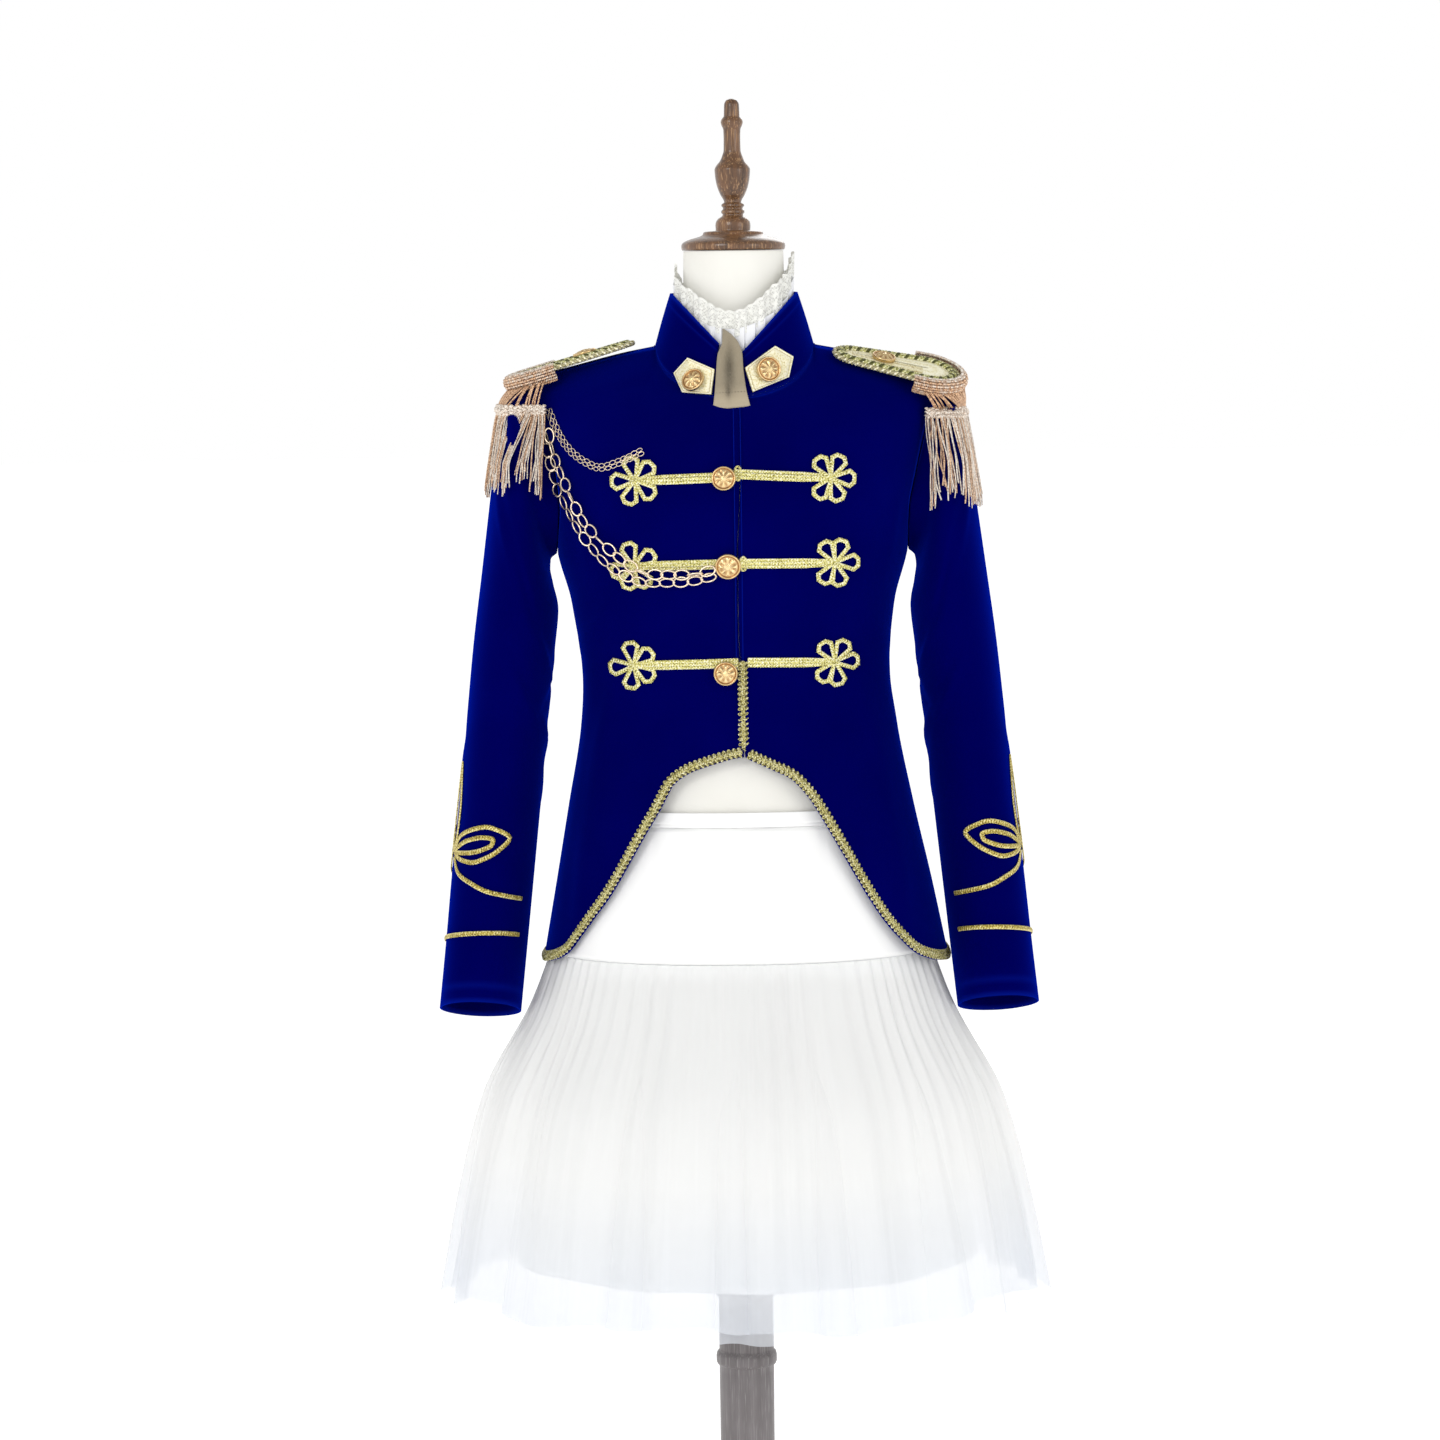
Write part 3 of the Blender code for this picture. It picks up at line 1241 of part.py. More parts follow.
# Skirt
def tulle_half(name, front):
    """Half of the gathered skirt: gathers at the seam, broad folds at the hem."""
    count = GATHERS
    start = -90 if front else 90
    share = np.linspace(0.002, 0.998, count + 1)
    angles = np.radians(start + 180 * share)
    outer = []
    for row in TULLE_ROWS:
        depth = row.front if front else row.back
        power = 2 / row.power
        x = row.half_width * np.sign(np.sin(angles)) * np.abs(np.sin(angles)) ** power
        y = depth * np.abs(np.cos(angles)) ** power * (-1 if front else 1)
        flip = np.where(np.arange(count + 1) % 2 == 0, 1.0, -1.0) * row.gather
        fold = row.fold * np.sin(FOLDS * angles + 1.2 * np.sin(3 * angles))
        away = np.stack([x, y], axis=1)
        away /= np.linalg.norm(away, axis=1, keepdims=True)
        moved = np.stack([x, y], axis=1) + away * (flip + fold)[:, None]
        hem = 0.004 * np.sin(5 * angles + 0.7) if row is TULLE_ROWS[-1] else 0.0 * angles
        outer.append(np.column_stack([moved, row.z + hem]))
    outer = np.array(outer)
    away = outer * np.array([1, 1, 0])
    away /= np.linalg.norm(away, axis=2, keepdims=True)
    return wall(name, outer, outer - away * TULLE, "tulle", False)


def make_torso():
    """Solid form: level rings from the hips to the top of the neck, shut at both ends."""
    angles = np.arange(TORSO_COLUMNS) * 2 * math.pi / TORSO_COLUMNS
    points = []
    for s in TORSO:
        power = 2 / s.power
        x = s.half_width * np.sign(np.sin(angles)) * np.abs(np.sin(angles)) ** power
        depth = np.where(np.cos(angles) > 0, s.front, s.back)
        y = -depth * np.sign(np.cos(angles)) * np.abs(np.cos(angles)) ** power
        points += [(float(a), float(b), s.z) for a, b in zip(x, y)]
    ids = np.arange(len(points)).reshape(len(TORSO), TORSO_COLUMNS)
    looped = np.concatenate([ids, ids[:, :1]], axis=1)
    faces = []
    for r in range(len(TORSO) - 1):
        faces += quads(looped[r].tolist(), looped[r + 1].tolist())
    for k in range(1, TORSO_COLUMNS - 1):
        faces.append((int(ids[0, 0]), int(ids[0, k + 1]), int(ids[0, k])))
        faces.append((int(ids[-1, 0]), int(ids[-1, k]), int(ids[-1, k + 1])))
    return add("form_torso", points, faces, "form_cloth", smooth=True)


def main():
    for piece in list(bpy.data.objects):
        bpy.data.objects.remove(piece, do_unlink=True)
    lathe("stand_base", BASE, 24, "pole_wood")
    lathe("stand_pole", POLE, 14, "pole_wood")
    make_torso()
    lathe("form_finial", FINIAL, 14, "wood")
    ring_wall("skirt_yoke", YOKE, SKIRT_COLUMNS, LIGHT_CLOTH, "satin")
    ring_wall("skirt_waistband", WAISTBAND, SKIRT_COLUMNS, LIGHT_CLOTH, "satin")
    ring_wall("skirt_lining", LINING, SKIRT_COLUMNS, LIGHT_CLOTH, "satin")
    tulle_half("skirt_tulle_front", True)
    tulle_half("skirt_tulle_back", False)
    panels = make_panels()
    sleeves = {
        "left": make_sleeve("sleeve_left", -1),
        "right": make_sleeve("sleeve_right", 1),
    }
    collar = make_collar()
    ruffle = make_ruffle()
    front_left, front_right = panels["jacket_front_left"], panels["jacket_front_right"]
    make_throat_tab(Surface(front_left, front_right, ruffle))
    fronts = Surface(front_left, front_right)
    for frog in FROGS:
        make_frog(frog, fronts)
    make_front_buttons(fronts)
    make_collar_tabs(Surface(collar, front_left, front_right))
    tabs = [bpy.data.objects["collar_tab_left"], bpy.data.objects["collar_tab_right"]]
    make_collar_buttons(Surface(*tabs))
    make_hem_braids({
        "left": Surface(front_left),
        "right": Surface(front_right),
        "back": Surface(panels["jacket_back"]),
    })
    make_front_braid(fronts)
    for name, side in (("left", -1), ("right", 1)):
        make_sleeve_trim(name, side, Surface(sleeves[name]))
    left_side = Surface(front_left, sleeves["left"])
    make_chain("chain_lower", LOWER_CHAIN, REST + 0.0002, left_side)
    make_chain("chain_upper", UPPER_CHAIN, REST + 0.0032, left_side)
    make_fine_chain(left_side)
    for shoulder in SHOULDERS:
        around = Surface(*panels.values(), sleeves[shoulder.name])
        make_epaulette(shoulder, around)


main()
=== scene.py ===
import math

import bpy
import numpy as np
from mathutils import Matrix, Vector
from mathutils.bvhtree import BVHTree


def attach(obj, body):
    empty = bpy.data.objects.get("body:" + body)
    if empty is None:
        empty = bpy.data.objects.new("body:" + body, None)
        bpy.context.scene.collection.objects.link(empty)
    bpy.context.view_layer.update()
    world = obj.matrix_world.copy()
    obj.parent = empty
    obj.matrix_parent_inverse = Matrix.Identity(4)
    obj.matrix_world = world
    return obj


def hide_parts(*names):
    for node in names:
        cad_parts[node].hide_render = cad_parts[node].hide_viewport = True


# A velvet jacket and a tulle skirt on a dress form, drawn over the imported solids.
# Metres, +Z up, the wearer's front faces -Y. Lengths in the tables are the garment's own.

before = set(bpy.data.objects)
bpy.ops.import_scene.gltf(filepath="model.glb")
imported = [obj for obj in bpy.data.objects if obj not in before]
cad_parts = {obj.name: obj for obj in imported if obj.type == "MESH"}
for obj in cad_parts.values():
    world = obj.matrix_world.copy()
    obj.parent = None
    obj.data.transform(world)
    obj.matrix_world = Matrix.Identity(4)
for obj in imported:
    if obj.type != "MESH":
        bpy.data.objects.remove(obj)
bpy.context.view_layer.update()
dice = np.random.default_rng(11)
bodyName = "root"
levelOnly = np.array([1, 1, 0])     # keeps the level part of a vector
sheets = []


# Curves and tables
def unit(v):
    return v / np.maximum(np.linalg.norm(v, axis=-1, keepdims=True), 1e-12)


def smoothCurve(xs, ys, at):
    # Cubic through the points; each slope is the harmonic mean of its neighbours, so it never overshoots
    xs, ys = np.asarray(xs, float), np.asarray(ys, float)
    if xs[0] > xs[-1]:
        xs, ys = xs[::-1], ys[::-1]
    at = np.clip(np.asarray(at, float), xs[0], xs[-1])
    tail = (1,) * (ys.ndim - 1)
    run = np.diff(xs).reshape((-1,) + tail)
    rise = np.diff(ys, axis=0) / run
    both = rise[:-1] * rise[1:]
    total = np.where(both > 0, rise[:-1] + rise[1:], 1.0)
    slope = np.concatenate([rise[:1], np.where(both > 0, 2 * both / total, 0.0), rise[-1:]])
    i = np.clip(np.searchsorted(xs, at, side="right") - 1, 0, len(xs) - 2)
    step = run[i]
    t = (at - xs[i]).reshape(at.shape + tail) / step
    start = (1 + 2 * t) * (1 - t) ** 2 * ys[i] + t * (1 - t) ** 2 * step * slope[i]
    return start + t * t * (3 - 2 * t) * ys[i + 1] + t * t * (t - 1) * step * slope[i + 1]


def runOf(path):
    # Length along a path up to each of its points
    return np.concatenate([[0], np.cumsum(np.linalg.norm(np.diff(path, axis=0), axis=1))])


def readAlong(rows, at, run=None):
    # Rows read between their neighbours at given lengths along them
    run = runOf(rows) if run is None else run
    return np.stack([np.interp(at, run, column) for column in rows.T], axis=-1)


def evenly(points, count):
    # Points at even spacing along the smooth curve through the given ones
    points = np.asarray(points, float)
    share = np.linspace(0, 1, len(points))
    curve = smoothCurve(share, points, np.linspace(0, 1, 40 * len(points)))
    return readAlong(curve, np.linspace(0, runOf(curve)[-1], count))


def bump(x, middle, width):
    return np.exp(-((x - middle) / width) ** 2)


def crease(across, hollowWidth):
    # A long fold's section: a bump with a shallower hollow beside it
    return np.exp(-across ** 2) - 0.5 * np.exp(-((across - 1.7) / hollowWidth) ** 2)


def titled(name):
    # A node's name as a piece's: words run together with capitals
    return name.title().replace("_", "")


# Surfaces: a chunk is its points and a list of (faces, corner UVs)
def gridQuads(rows, columns, closeRows=False, closeColumns=False):
    # Cells of a grid of points, and the row and column that each corner stands for
    r, c = np.meshgrid(np.arange(rows - 1 + closeRows), np.arange(columns - 1 + closeColumns), indexing="ij")
    rr = r.reshape(-1, 1) + np.array([0, 0, 1, 1])
    cc = c.reshape(-1, 1) + np.array([0, 1, 1, 0])
    return (rr % rows) * columns + cc % columns, rr, cc


def gridNormals(grid, closed=False):
    # Cross product of the steps along a grid's rows and columns
    across = np.roll(grid, -1, 1) - np.roll(grid, 1, 1) if closed else np.gradient(grid, axis=1)
    return unit(np.cross(across, np.gradient(grid, axis=0)))


def awayFrom(axis, grid, normals):
    # The same normals, turned so that they point away from an upright axis
    level = (grid - axis) * levelOnly
    return normals if np.einsum("ijk,ijk->", normals, level) > 0 else -normals


def sheetChunk(grid, us, vs, closed=False):
    # The grid's cells as quads, with u by column and v by row
    faces, rr, cc = gridQuads(*grid.shape[:2], closeColumns=closed)
    return grid.reshape(-1, 3), [(faces, np.stack([us[cc], vs[rr]], axis=-1))]


def shellChunk(outer, normals, thickness, us, vs, closed=False):
    # Wall between a grid and the same grid moved in along its normals, with a rim on each open edge
    rows, columns = outer.shape[:2]
    count = rows * columns
    points, ((faces, uvs),) = sheetChunk(outer, us, vs, closed)
    ids = np.arange(count).reshape(rows, columns)
    if closed:
        ids = np.concatenate([ids, ids[:, :1]], axis=1)
    edges = [(ids[0, 1:], ids[0, :-1]), (ids[-1, :-1], ids[-1, 1:])]
    if not closed:
        edges += [(ids[:-1, 0], ids[1:, 0]), (ids[1:, -1], ids[:-1, -1])]
    rims = np.concatenate([np.stack([a, b, b + count, a + count], axis=1) for a, b in edges])
    spots = np.stack(np.broadcast_arrays(us[None, :columns], vs[:, None]), axis=-1).reshape(-1, 2)
    groups = [(faces, uvs), (faces[:, ::-1] + count, uvs[:, ::-1]), (rims, spots[rims % count])]
    inner = (outer - normals * thickness).reshape(-1, 3)
    return facingOut((np.concatenate([points, inner]), groups))


def tubeChunk(paths, radius, sides=8, up=(0, 0, 1), closed=False, flat=1.0, spin=0.0, mitre=False):
    # Tubes of round or flat section carried along many paths at once
    paths = np.asarray(paths, float)
    paths = paths[None] if paths.ndim == 2 else paths
    tubes, count = paths.shape[:2]
    step = np.roll(paths, -1, 1) - np.roll(paths, 1, 1) if closed else np.gradient(paths, axis=1)
    tangent = unit(step)
    side = unit(np.cross(tangent, np.broadcast_to(np.asarray(up, float), paths.shape)))
    lift = np.cross(side, tangent)
    turn = np.arange(sides) * 2 * math.pi / sides + spin
    wide = np.broadcast_to(np.asarray(radius, float), (tubes, count))[..., None, None]
    if mitre:     # wider by 1 / cosine of half the turn, so a corner stays sharp
        ahead = unit(np.roll(paths, -1, 1) - paths)
        wide = wide / np.clip(np.einsum("ijk,ijk->ij", ahead, tangent), 0.6, 1)[..., None, None]
    ring = np.cos(turn)[:, None] * side[:, :, None] + flat * np.sin(turn)[:, None] * lift[:, :, None]
    points = (paths[:, :, None] + wide * ring).reshape(-1, 3)
    faces, rr, cc = gridQuads(count, sides, closed, True)
    looped = np.concatenate([paths, paths[:, :1]], axis=1)
    run = np.linalg.norm(np.diff(looped, axis=1), axis=2).cumsum(axis=1)
    run = np.concatenate([np.zeros((tubes, 1)), run], axis=1)
    first = (np.arange(tubes) * count * sides)[:, None, None]
    uvs = np.stack([np.broadcast_to(cc / sides, (tubes,) + cc.shape), run[:, rr]], axis=-1)
    groups = [((faces + first).reshape(-1, 4), uvs.reshape(-1, 4, 2))]
    if not closed:
        k = np.arange(sides)
        after = (k + 1) % sides
        last = (count - 1) * sides
        tips = len(points) + np.arange(tubes)[:, None]
        base = first[:, 0]
        low = np.stack(np.broadcast_arrays(base + after, base + k, tips), axis=-1)
        high = np.stack(np.broadcast_arrays(base + last + k, base + last + after, tips + tubes), axis=-1)
        caps = np.concatenate([low.reshape(-1, 3), high.reshape(-1, 3)])
        ends = np.concatenate([run[:, :1], run[:, count - 1:count]])
        capUvs = np.stack(np.broadcast_arrays(np.array([0, 0.1, 0.05]), ends[:, :, None]), axis=-1)
        groups.append((caps, np.repeat(capUvs.reshape(-1, 3, 2), sides, axis=0)))
        points = np.concatenate([points, paths[:, 0], paths[:, -1]])
    return facingOut((points, groups))


def tapeChunk(paths, width, out, flat, closed=False, mitre=False):
    # A flat tape of eight sides that lies on its cloth
    return tubeChunk(paths, width, 8, out, closed, flat, math.pi / 8, mitre)


def cappedChunk(grid, us, vs, tips):
    # A band of closed rings, shut at both ends by fans to two tips
    points, groups = sheetChunk(grid, us, vs, closed=True)
    sides = grid.shape[1]
    k = np.arange(sides)
    after = (k + 1) % sides
    last = (len(grid) - 1) * sides
    low = np.stack([after, k, 0 * k + len(points)], axis=1)
    high = np.stack([last + k, last + after, 0 * k + len(points) + 1], axis=1)
    fans = (np.concatenate([low, high]), np.zeros((2 * sides, 3, 2)))
    return facingOut((np.concatenate([points, tips]), groups + [fans]))


def turnedChunk(profile, sides):
    # Profile of radius and height turned about the upright axis
    turn = np.arange(sides) * 2 * math.pi / sides
    ring = np.stack([np.cos(turn), np.sin(turn), np.zeros(sides)], axis=1)
    grid = profile[:, None, :1] * ring + np.array([0, 0, 1]) * profile[:, None, 1:2]
    tips = [(0, 0, profile[0, 1]), (0, 0, profile[-1, 1])]
    return cappedChunk(grid, np.linspace(0, 1, sides + 1), runOf(profile), tips)


def facingOut(chunk):
    # A closed chunk with its faces turned so that the volume inside them is positive
    points, groups = chunk
    middle = points.mean(axis=0)
    total = 0.0
    for faces, _ in groups:
        for k in range(1, faces.shape[1] - 1):
            a, b, c = [points[faces[:, j]] - middle for j in (0, k, k + 1)]
            total += np.einsum("ij,ij->", a, np.cross(b, c))
    if total < 0:
        groups = [(faces[:, ::-1], uvs[:, ::-1]) for faces, uvs in groups]
    return points, groups


def addPiece(name, chunks, finish, slot, nodes=(), sharp=None, tone=None):
    # One mesh from chunks, riding the body, with the nodes that it stands in for
    points = np.concatenate([c[0] for c in chunks])
    firsts = np.cumsum([0] + [len(c[0]) for c in chunks])
    parts = [(faces + first, uvs) for (_, groups), first in zip(chunks, firsts) for faces, uvs in groups]
    loops = np.concatenate([faces.ravel() for faces, _ in parts])
    corners = np.concatenate([uvs.reshape(-1, 2) for _, uvs in parts])
    sizes = np.concatenate([np.full(len(faces), faces.shape[1]) for faces, _ in parts])
    mesh = bpy.data.meshes.new(name)
    mesh.vertices.add(len(points))
    mesh.vertices.foreach_set("co", points.astype(np.float32).ravel())
    mesh.loops.add(len(loops))
    mesh.loops.foreach_set("vertex_index", loops.astype(np.int32))
    mesh.polygons.add(len(sizes))
    mesh.polygons.foreach_set("loop_start", np.concatenate([[0], np.cumsum(sizes)[:-1]]).astype(np.int32))
    mesh.update(calc_edges=True)
    mesh.uv_layers.new(name="UVMap").data.foreach_set("uv", corners.astype(np.float32).ravel())
    if tone is not None:
        shades = mesh.attributes.new("tone", "FLOAT", "POINT")
        shades.data.foreach_set("value", tone.astype(np.float32).ravel())
    mesh.validate()
    mesh.shade_smooth()
    if sharp:
        mesh.set_sharp_from_angle(angle=math.radians(sharp))
    mesh.materials.append(finish)
    made = bpy.data.objects.new(name, mesh)
    bpy.context.collection.objects.link(made)
    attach(made, bodyName)
    if nodes:
        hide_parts(*nodes)
    return made


def addSheet(title, chunk, finish, slot, nodes, flat, fill, held, rests, **more):
    # Cloth: the flat size, the share of it that the cut fills, how it is held and what it rests on
    piece = addPiece(title, [chunk], finish, slot, nodes, **more)
    sheets.append((piece, flat, fill, held, [rests]))


# Materials: sums of sockets become Math nodes
def paint(red, green, blue):
    # Colour from the 0 to 255 values seen on a screen
    c = np.array([red, green, blue]) / 255
    linear = np.where(c <= 0.04045, c / 12.92, ((c + 0.055) / 1.055) ** 2.4)
    return (*[float(v) for v in linear], 1.0)


def connect(tree, socket, value):
    if isinstance(value, Wire):
        tree.links.new(value.socket, socket)
    else:
        socket.default_value = value


class Wire:
    # One output socket; an operator on it adds the Math node that works it out
    def __init__(self, tree, socket):
        self.tree, self.socket = tree, socket

    def maths(self, operation, *values):
        node = self.tree.nodes.new("ShaderNodeMath")
        node.operation = operation
        for socket, value in zip(node.inputs, values):
            connect(self.tree, socket, value)
        return Wire(self.tree, node.outputs[0])

    def __add__(self, other):
        return self.maths("ADD", self, other)

    def __radd__(self, other):
        return self.maths("ADD", other, self)

    def __sub__(self, other):
        return self.maths("SUBTRACT", self, other)

    def __rsub__(self, other):
        return self.maths("SUBTRACT", other, self)

    def __mul__(self, other):
        return self.maths("MULTIPLY", self, other)

    def __rmul__(self, other):
        return self.maths("MULTIPLY", other, self)

    def __pow__(self, other):
        return self.maths("POWER", self, other)

    def sine(self):
        return self.maths("SINE", self)

    def size(self):
        return self.maths("ABSOLUTE", self)

    def within(self, low, high):
        node = self.tree.nodes.new("ShaderNodeMapRange")
        for socket, value in zip(node.inputs, (self, low, high, 0.0, 1.0)):
            connect(self.tree, socket, value)
        return Wire(self.tree, node.outputs[0])


class Finish:
    # A material with its shader; what is the same all over goes straight onto the shader
    def __init__(self, name, **settings):
        self.material = bpy.data.materials.new(name)
        self.material.use_nodes = True
        self.tree = self.material.node_tree
        self.shader = self.tree.nodes["Principled BSDF"]
        self.give(**settings)

    def give(self, **settings):
        for key, value in settings.items():
            label = " ".join(word.capitalize() for word in key.split("_")).replace("Ior", "IOR")
            connect(self.tree, self.shader.inputs[label], value)
        return self.material

    def node(self, kind, settings=None, inputs=None, output=0):
        made = self.tree.nodes.new(kind)
        for key, value in (settings or {}).items():
            setattr(made, key, value)
        for key, value in (inputs or {}).items():
            connect(self.tree, made.inputs[key], value)
        return Wire(self.tree, made.outputs[output])

    def mix(self, share, first, second):
        return self.node("ShaderNodeMix", {"data_type": "RGBA"}, {0: share, 6: first, 7: second}, 2)

    def place(self, scale=(1, 1, 1)):
        spot = self.node("ShaderNodeTexCoord", output=3)
        return self.node("ShaderNodeMapping", None, {0: spot, 3: scale})

    def uvMap(self):
        return self.node("ShaderNodeUVMap", {"uv_map": "UVMap"})

    def uv(self):
        split = self.node("ShaderNodeSeparateXYZ", None, {0: self.uvMap()})
        return split, Wire(self.tree, split.socket.node.outputs[1])

    def uvPlace(self, scale):
        return self.node("ShaderNodeMapping", None, {0: self.uvMap(), 3: scale})

    def noise(self, where, scale, detail=2.0, rough=0.5):
        return self.node("ShaderNodeTexNoise", None, {0: where, 2: scale, 3: detail, 4: rough})

    def tone(self):
        return self.node("ShaderNodeAttribute", {"attribute_name": "tone"}, output=2)

    def relief(self, height, distance, strength=1.0):
        made = self.tree.nodes.new("ShaderNodeBump")
        for key, value in (("Strength", strength), ("Distance", distance), ("Height", height)):
            connect(self.tree, made.inputs[key], value)
        self.give(normal=Wire(self.tree, made.outputs[0]))


def makeVelvet():
    look = {"deep": (0, 0, 72), "mid": (1, 1, 88), "paintedSheen": (4, 26, 142), "pile": 1500, "mottle": 9}
    velvet = Finish("velvetCloth", roughness=0.9, specular_ior_level=0.0, sheen_weight=0.8,
                    sheen_roughness=0.42, sheen_tint=(0.0002, 0.022, 0.62, 1))
    place = velvet.place()
    mottle = velvet.noise(place, look["mottle"], 3.0)
    pile = velvet.noise(place, look["pile"], 2.0)
    share = (mottle * 1.4 - 0.3 + (pile - 0.5) * 0.5).within(0, 1)
    colour = velvet.mix(share, paint(*look["deep"]), paint(*look["mid"]))
    # tone paints a lighter blue on edges, seams and the closing: painted sheen where velvet catches the light
    colour = velvet.mix(velvet.tone().within(0, 1), colour, paint(*look["paintedSheen"]))
    velvet.relief(pile, 0.0003, 0.5)
    return velvet.give(base_color=colour)


def makeJersey():
    look = {"pale": (238, 237, 231), "shade": (231, 229, 221), "knit": 2400}
    jersey = Finish("formJersey", roughness=0.9, specular_ior_level=0.2, sheen_weight=0.15)
    place = jersey.place()
    cloud = jersey.noise(place, 22.0, 3.0)
    knit = jersey.noise(jersey.place((1, 1, 0.45)), look["knit"], 1.0)
    jersey.relief(knit, 0.0002, 0.4)
    return jersey.give(base_color=jersey.mix(cloud, paint(*look["shade"]), paint(*look["pale"])))


def makeWood(name, dark, mid, light, gloss, coat):
    # Grain is noise stretched along the turned length, with fine pores over it
    wood = Finish(name, coat_roughness=0.12, specular_ior_level=0.5)
    grain = wood.noise(wood.place((1, 1, 0.07)), 130.0, 4.0, 0.6)
    pores = wood.noise(wood.place((1, 1, 0.04)), 900.0, 2.0)
    cloud = wood.noise(wood.place(), 16.0, 2.0)
    share = (grain * 1.5 - 0.45 + (cloud - 0.5) * 0.8).within(0, 1)
    colour = wood.mix(share, paint(*dark), paint(*mid))
    colour = wood.mix((pores - 0.55).within(0, 0.12) * 0.55, colour, paint(*light))
    wood.relief(grain * 0.6 + pores * 0.4, 0.0003, 0.3)
    return wood.give(base_color=colour, roughness=(grain * 0.2 + gloss), coat_weight=cloud * 0.2 + coat)


def makeSatin(name, pale, shade, roughness, weave=1800):
    satin = Finish(name, specular_ior_level=0.45, sheen_weight=0.1)
    thread = satin.noise(satin.place((1, 1, 0.12)), weave, 1.0)
    cloud = satin.noise(satin.place(), 12.0, 2.0)
    satin.relief(thread, 0.00012, 0.35)
    colour = satin.mix(cloud, paint(*shade), paint(*pale))
    return satin.give(base_color=colour, roughness=thread * 0.12 + roughness)


def makeLace():
    # Openwork: rows of small round holes by two sine waves across the piece, denser at its lower edge
    lace = Finish("neckLace", roughness=0.8, specular_ior_level=0.25, base_color=paint(238, 238, 232))
    u, v = lace.uv()
    net = ((u * 2600.0 + (v * 900.0).sine() * 0.6).sine() * (v * 2600.0).sine() + 0.62).within(0, 0.35)
    flower = lace.noise(lace.uvPlace((1, 1, 1)), 330.0, 2.0).within(0.50, 0.54)
    edge = (v - 0.0200).within(0, 0.0004) + (0.0020 - v).within(0, 0.0004)
    mask = (net * 0.34 + flower + edge + 0.46).within(0, 1)
    lace.relief(flower + net * 0.4, 0.0005, 0.6)
    return lace.give(alpha=mask)


def makeTulle():
    # Several layers of fine net read as one veil: streaks run down with the folds, where the net is denser
    # and painted grey as the folds' shade
    tulle = Finish("gatheredTulle", roughness=0.75, specular_ior_level=0.1, sheen_weight=0.2)
    u, v = tulle.uv()
    streaks = tulle.noise(tulle.uvPlace((1, 0.045, 1)), 70.0, 3.0)
    broad = tulle.noise(tulle.uvPlace((1, 0.10, 1)), 17.0, 2.0)
    veil = (streaks * 0.9 + broad * 0.8 - 0.85).within(0, 1)
    colour = tulle.mix(veil, paint(252, 252, 251), paint(234, 234, 233))
    colour = tulle.mix((0.14 - v).within(0, 0.14) * 0.8, colour, paint(222, 227, 236))
    return tulle.give(base_color=colour, alpha=veil * 0.26 + (v - 0.02).within(0, 0.09) * 0.14 + 0.46)


def makeBraid(name, gold, dark, bright, roughness=0.36, metallic=0.45, plait=2300.0):
    # Lurex braid: bright edges, a darker middle and dark specks between slanted threads
    braid = Finish(name, specular_ior_level=0.6)
    u, v = braid.uv()
    across = (u * (2 * math.pi) + math.pi / 2).sine()
    slant = ((v * plait + across.size() * 3.0).sine() * 0.5 + 0.5)
    specks = braid.noise(braid.place(), 720.0, 2.0)
    share = (slant * 0.35 + specks * 2.4 - 0.95 + across.size() ** 3.0 * 0.40).within(0, 1)
    colour = braid.mix((share * 2.2).within(0, 1), paint(*dark), paint(*gold))
    colour = braid.mix((share - 0.55).within(0, 0.35), colour, paint(*bright))
    # tone pulls to the dark colour: painted shade under the gimp's loops, in the grooves of the epaulette
    # braid and rope and on the collar tabs' rolled edges; dark thread on the tabs' stitched line
    colour = braid.mix(braid.tone().within(0, 1), colour, paint(*dark))
    braid.relief(slant * 0.7 + specks * 0.6, 0.0006, 0.9)
    return braid.give(base_color=colour, roughness=specks * 0.2 + roughness, metallic=share * 0.2 + metallic)


def makeBullion():
    # Fine coiled thread in copper and ivory; tone picks the thread
    bullion = Finish("bullionThread", specular_ior_level=0.7)
    u, v = bullion.uv()
    coil = (v * 4600.0 + u * (2 * math.pi)).sine() * 0.5 + 0.5
    specks = bullion.noise(bullion.place(), 700.0, 2.0)
    # The coil runs from dark to near white along each thread: painted shade between its turns and painted
    # highlights on them; the specks are random tone
    thread = coil * 0.5 + specks * 2.4
    warm = bullion.mix((thread - 0.88).within(0, 1), paint(112, 54, 20), paint(255, 214, 172))
    pale = bullion.mix((thread - 0.72).within(0, 1), paint(158, 124, 92), paint(255, 250, 240))
    colour = bullion.mix(bullion.tone().within(0, 1), warm, pale)
    bullion.relief(coil, 0.0004, 0.6)
    return bullion.give(base_color=colour, metallic=coil * 0.2 + 0.25, roughness=specks * 0.15 + 0.34)


def makeMetal(name, dark, mid, bright, roughness):
    # Plated metal: tone paints shade into the hollows, with faint wear
    metal = Finish(name, specular_ior_level=0.5)
    wear = metal.noise(metal.place(), 420.0, 3.0)
    hollow = metal.tone().within(0, 1)
    colour = metal.mix(wear, paint(*mid), paint(*bright))
    colour = metal.mix(hollow, colour, paint(*dark))
    metal.relief(wear, 0.0002, 0.25)
    return metal.give(base_color=colour, metallic=0.92 - hollow * 0.1, roughness=wear * 0.14 + roughness)


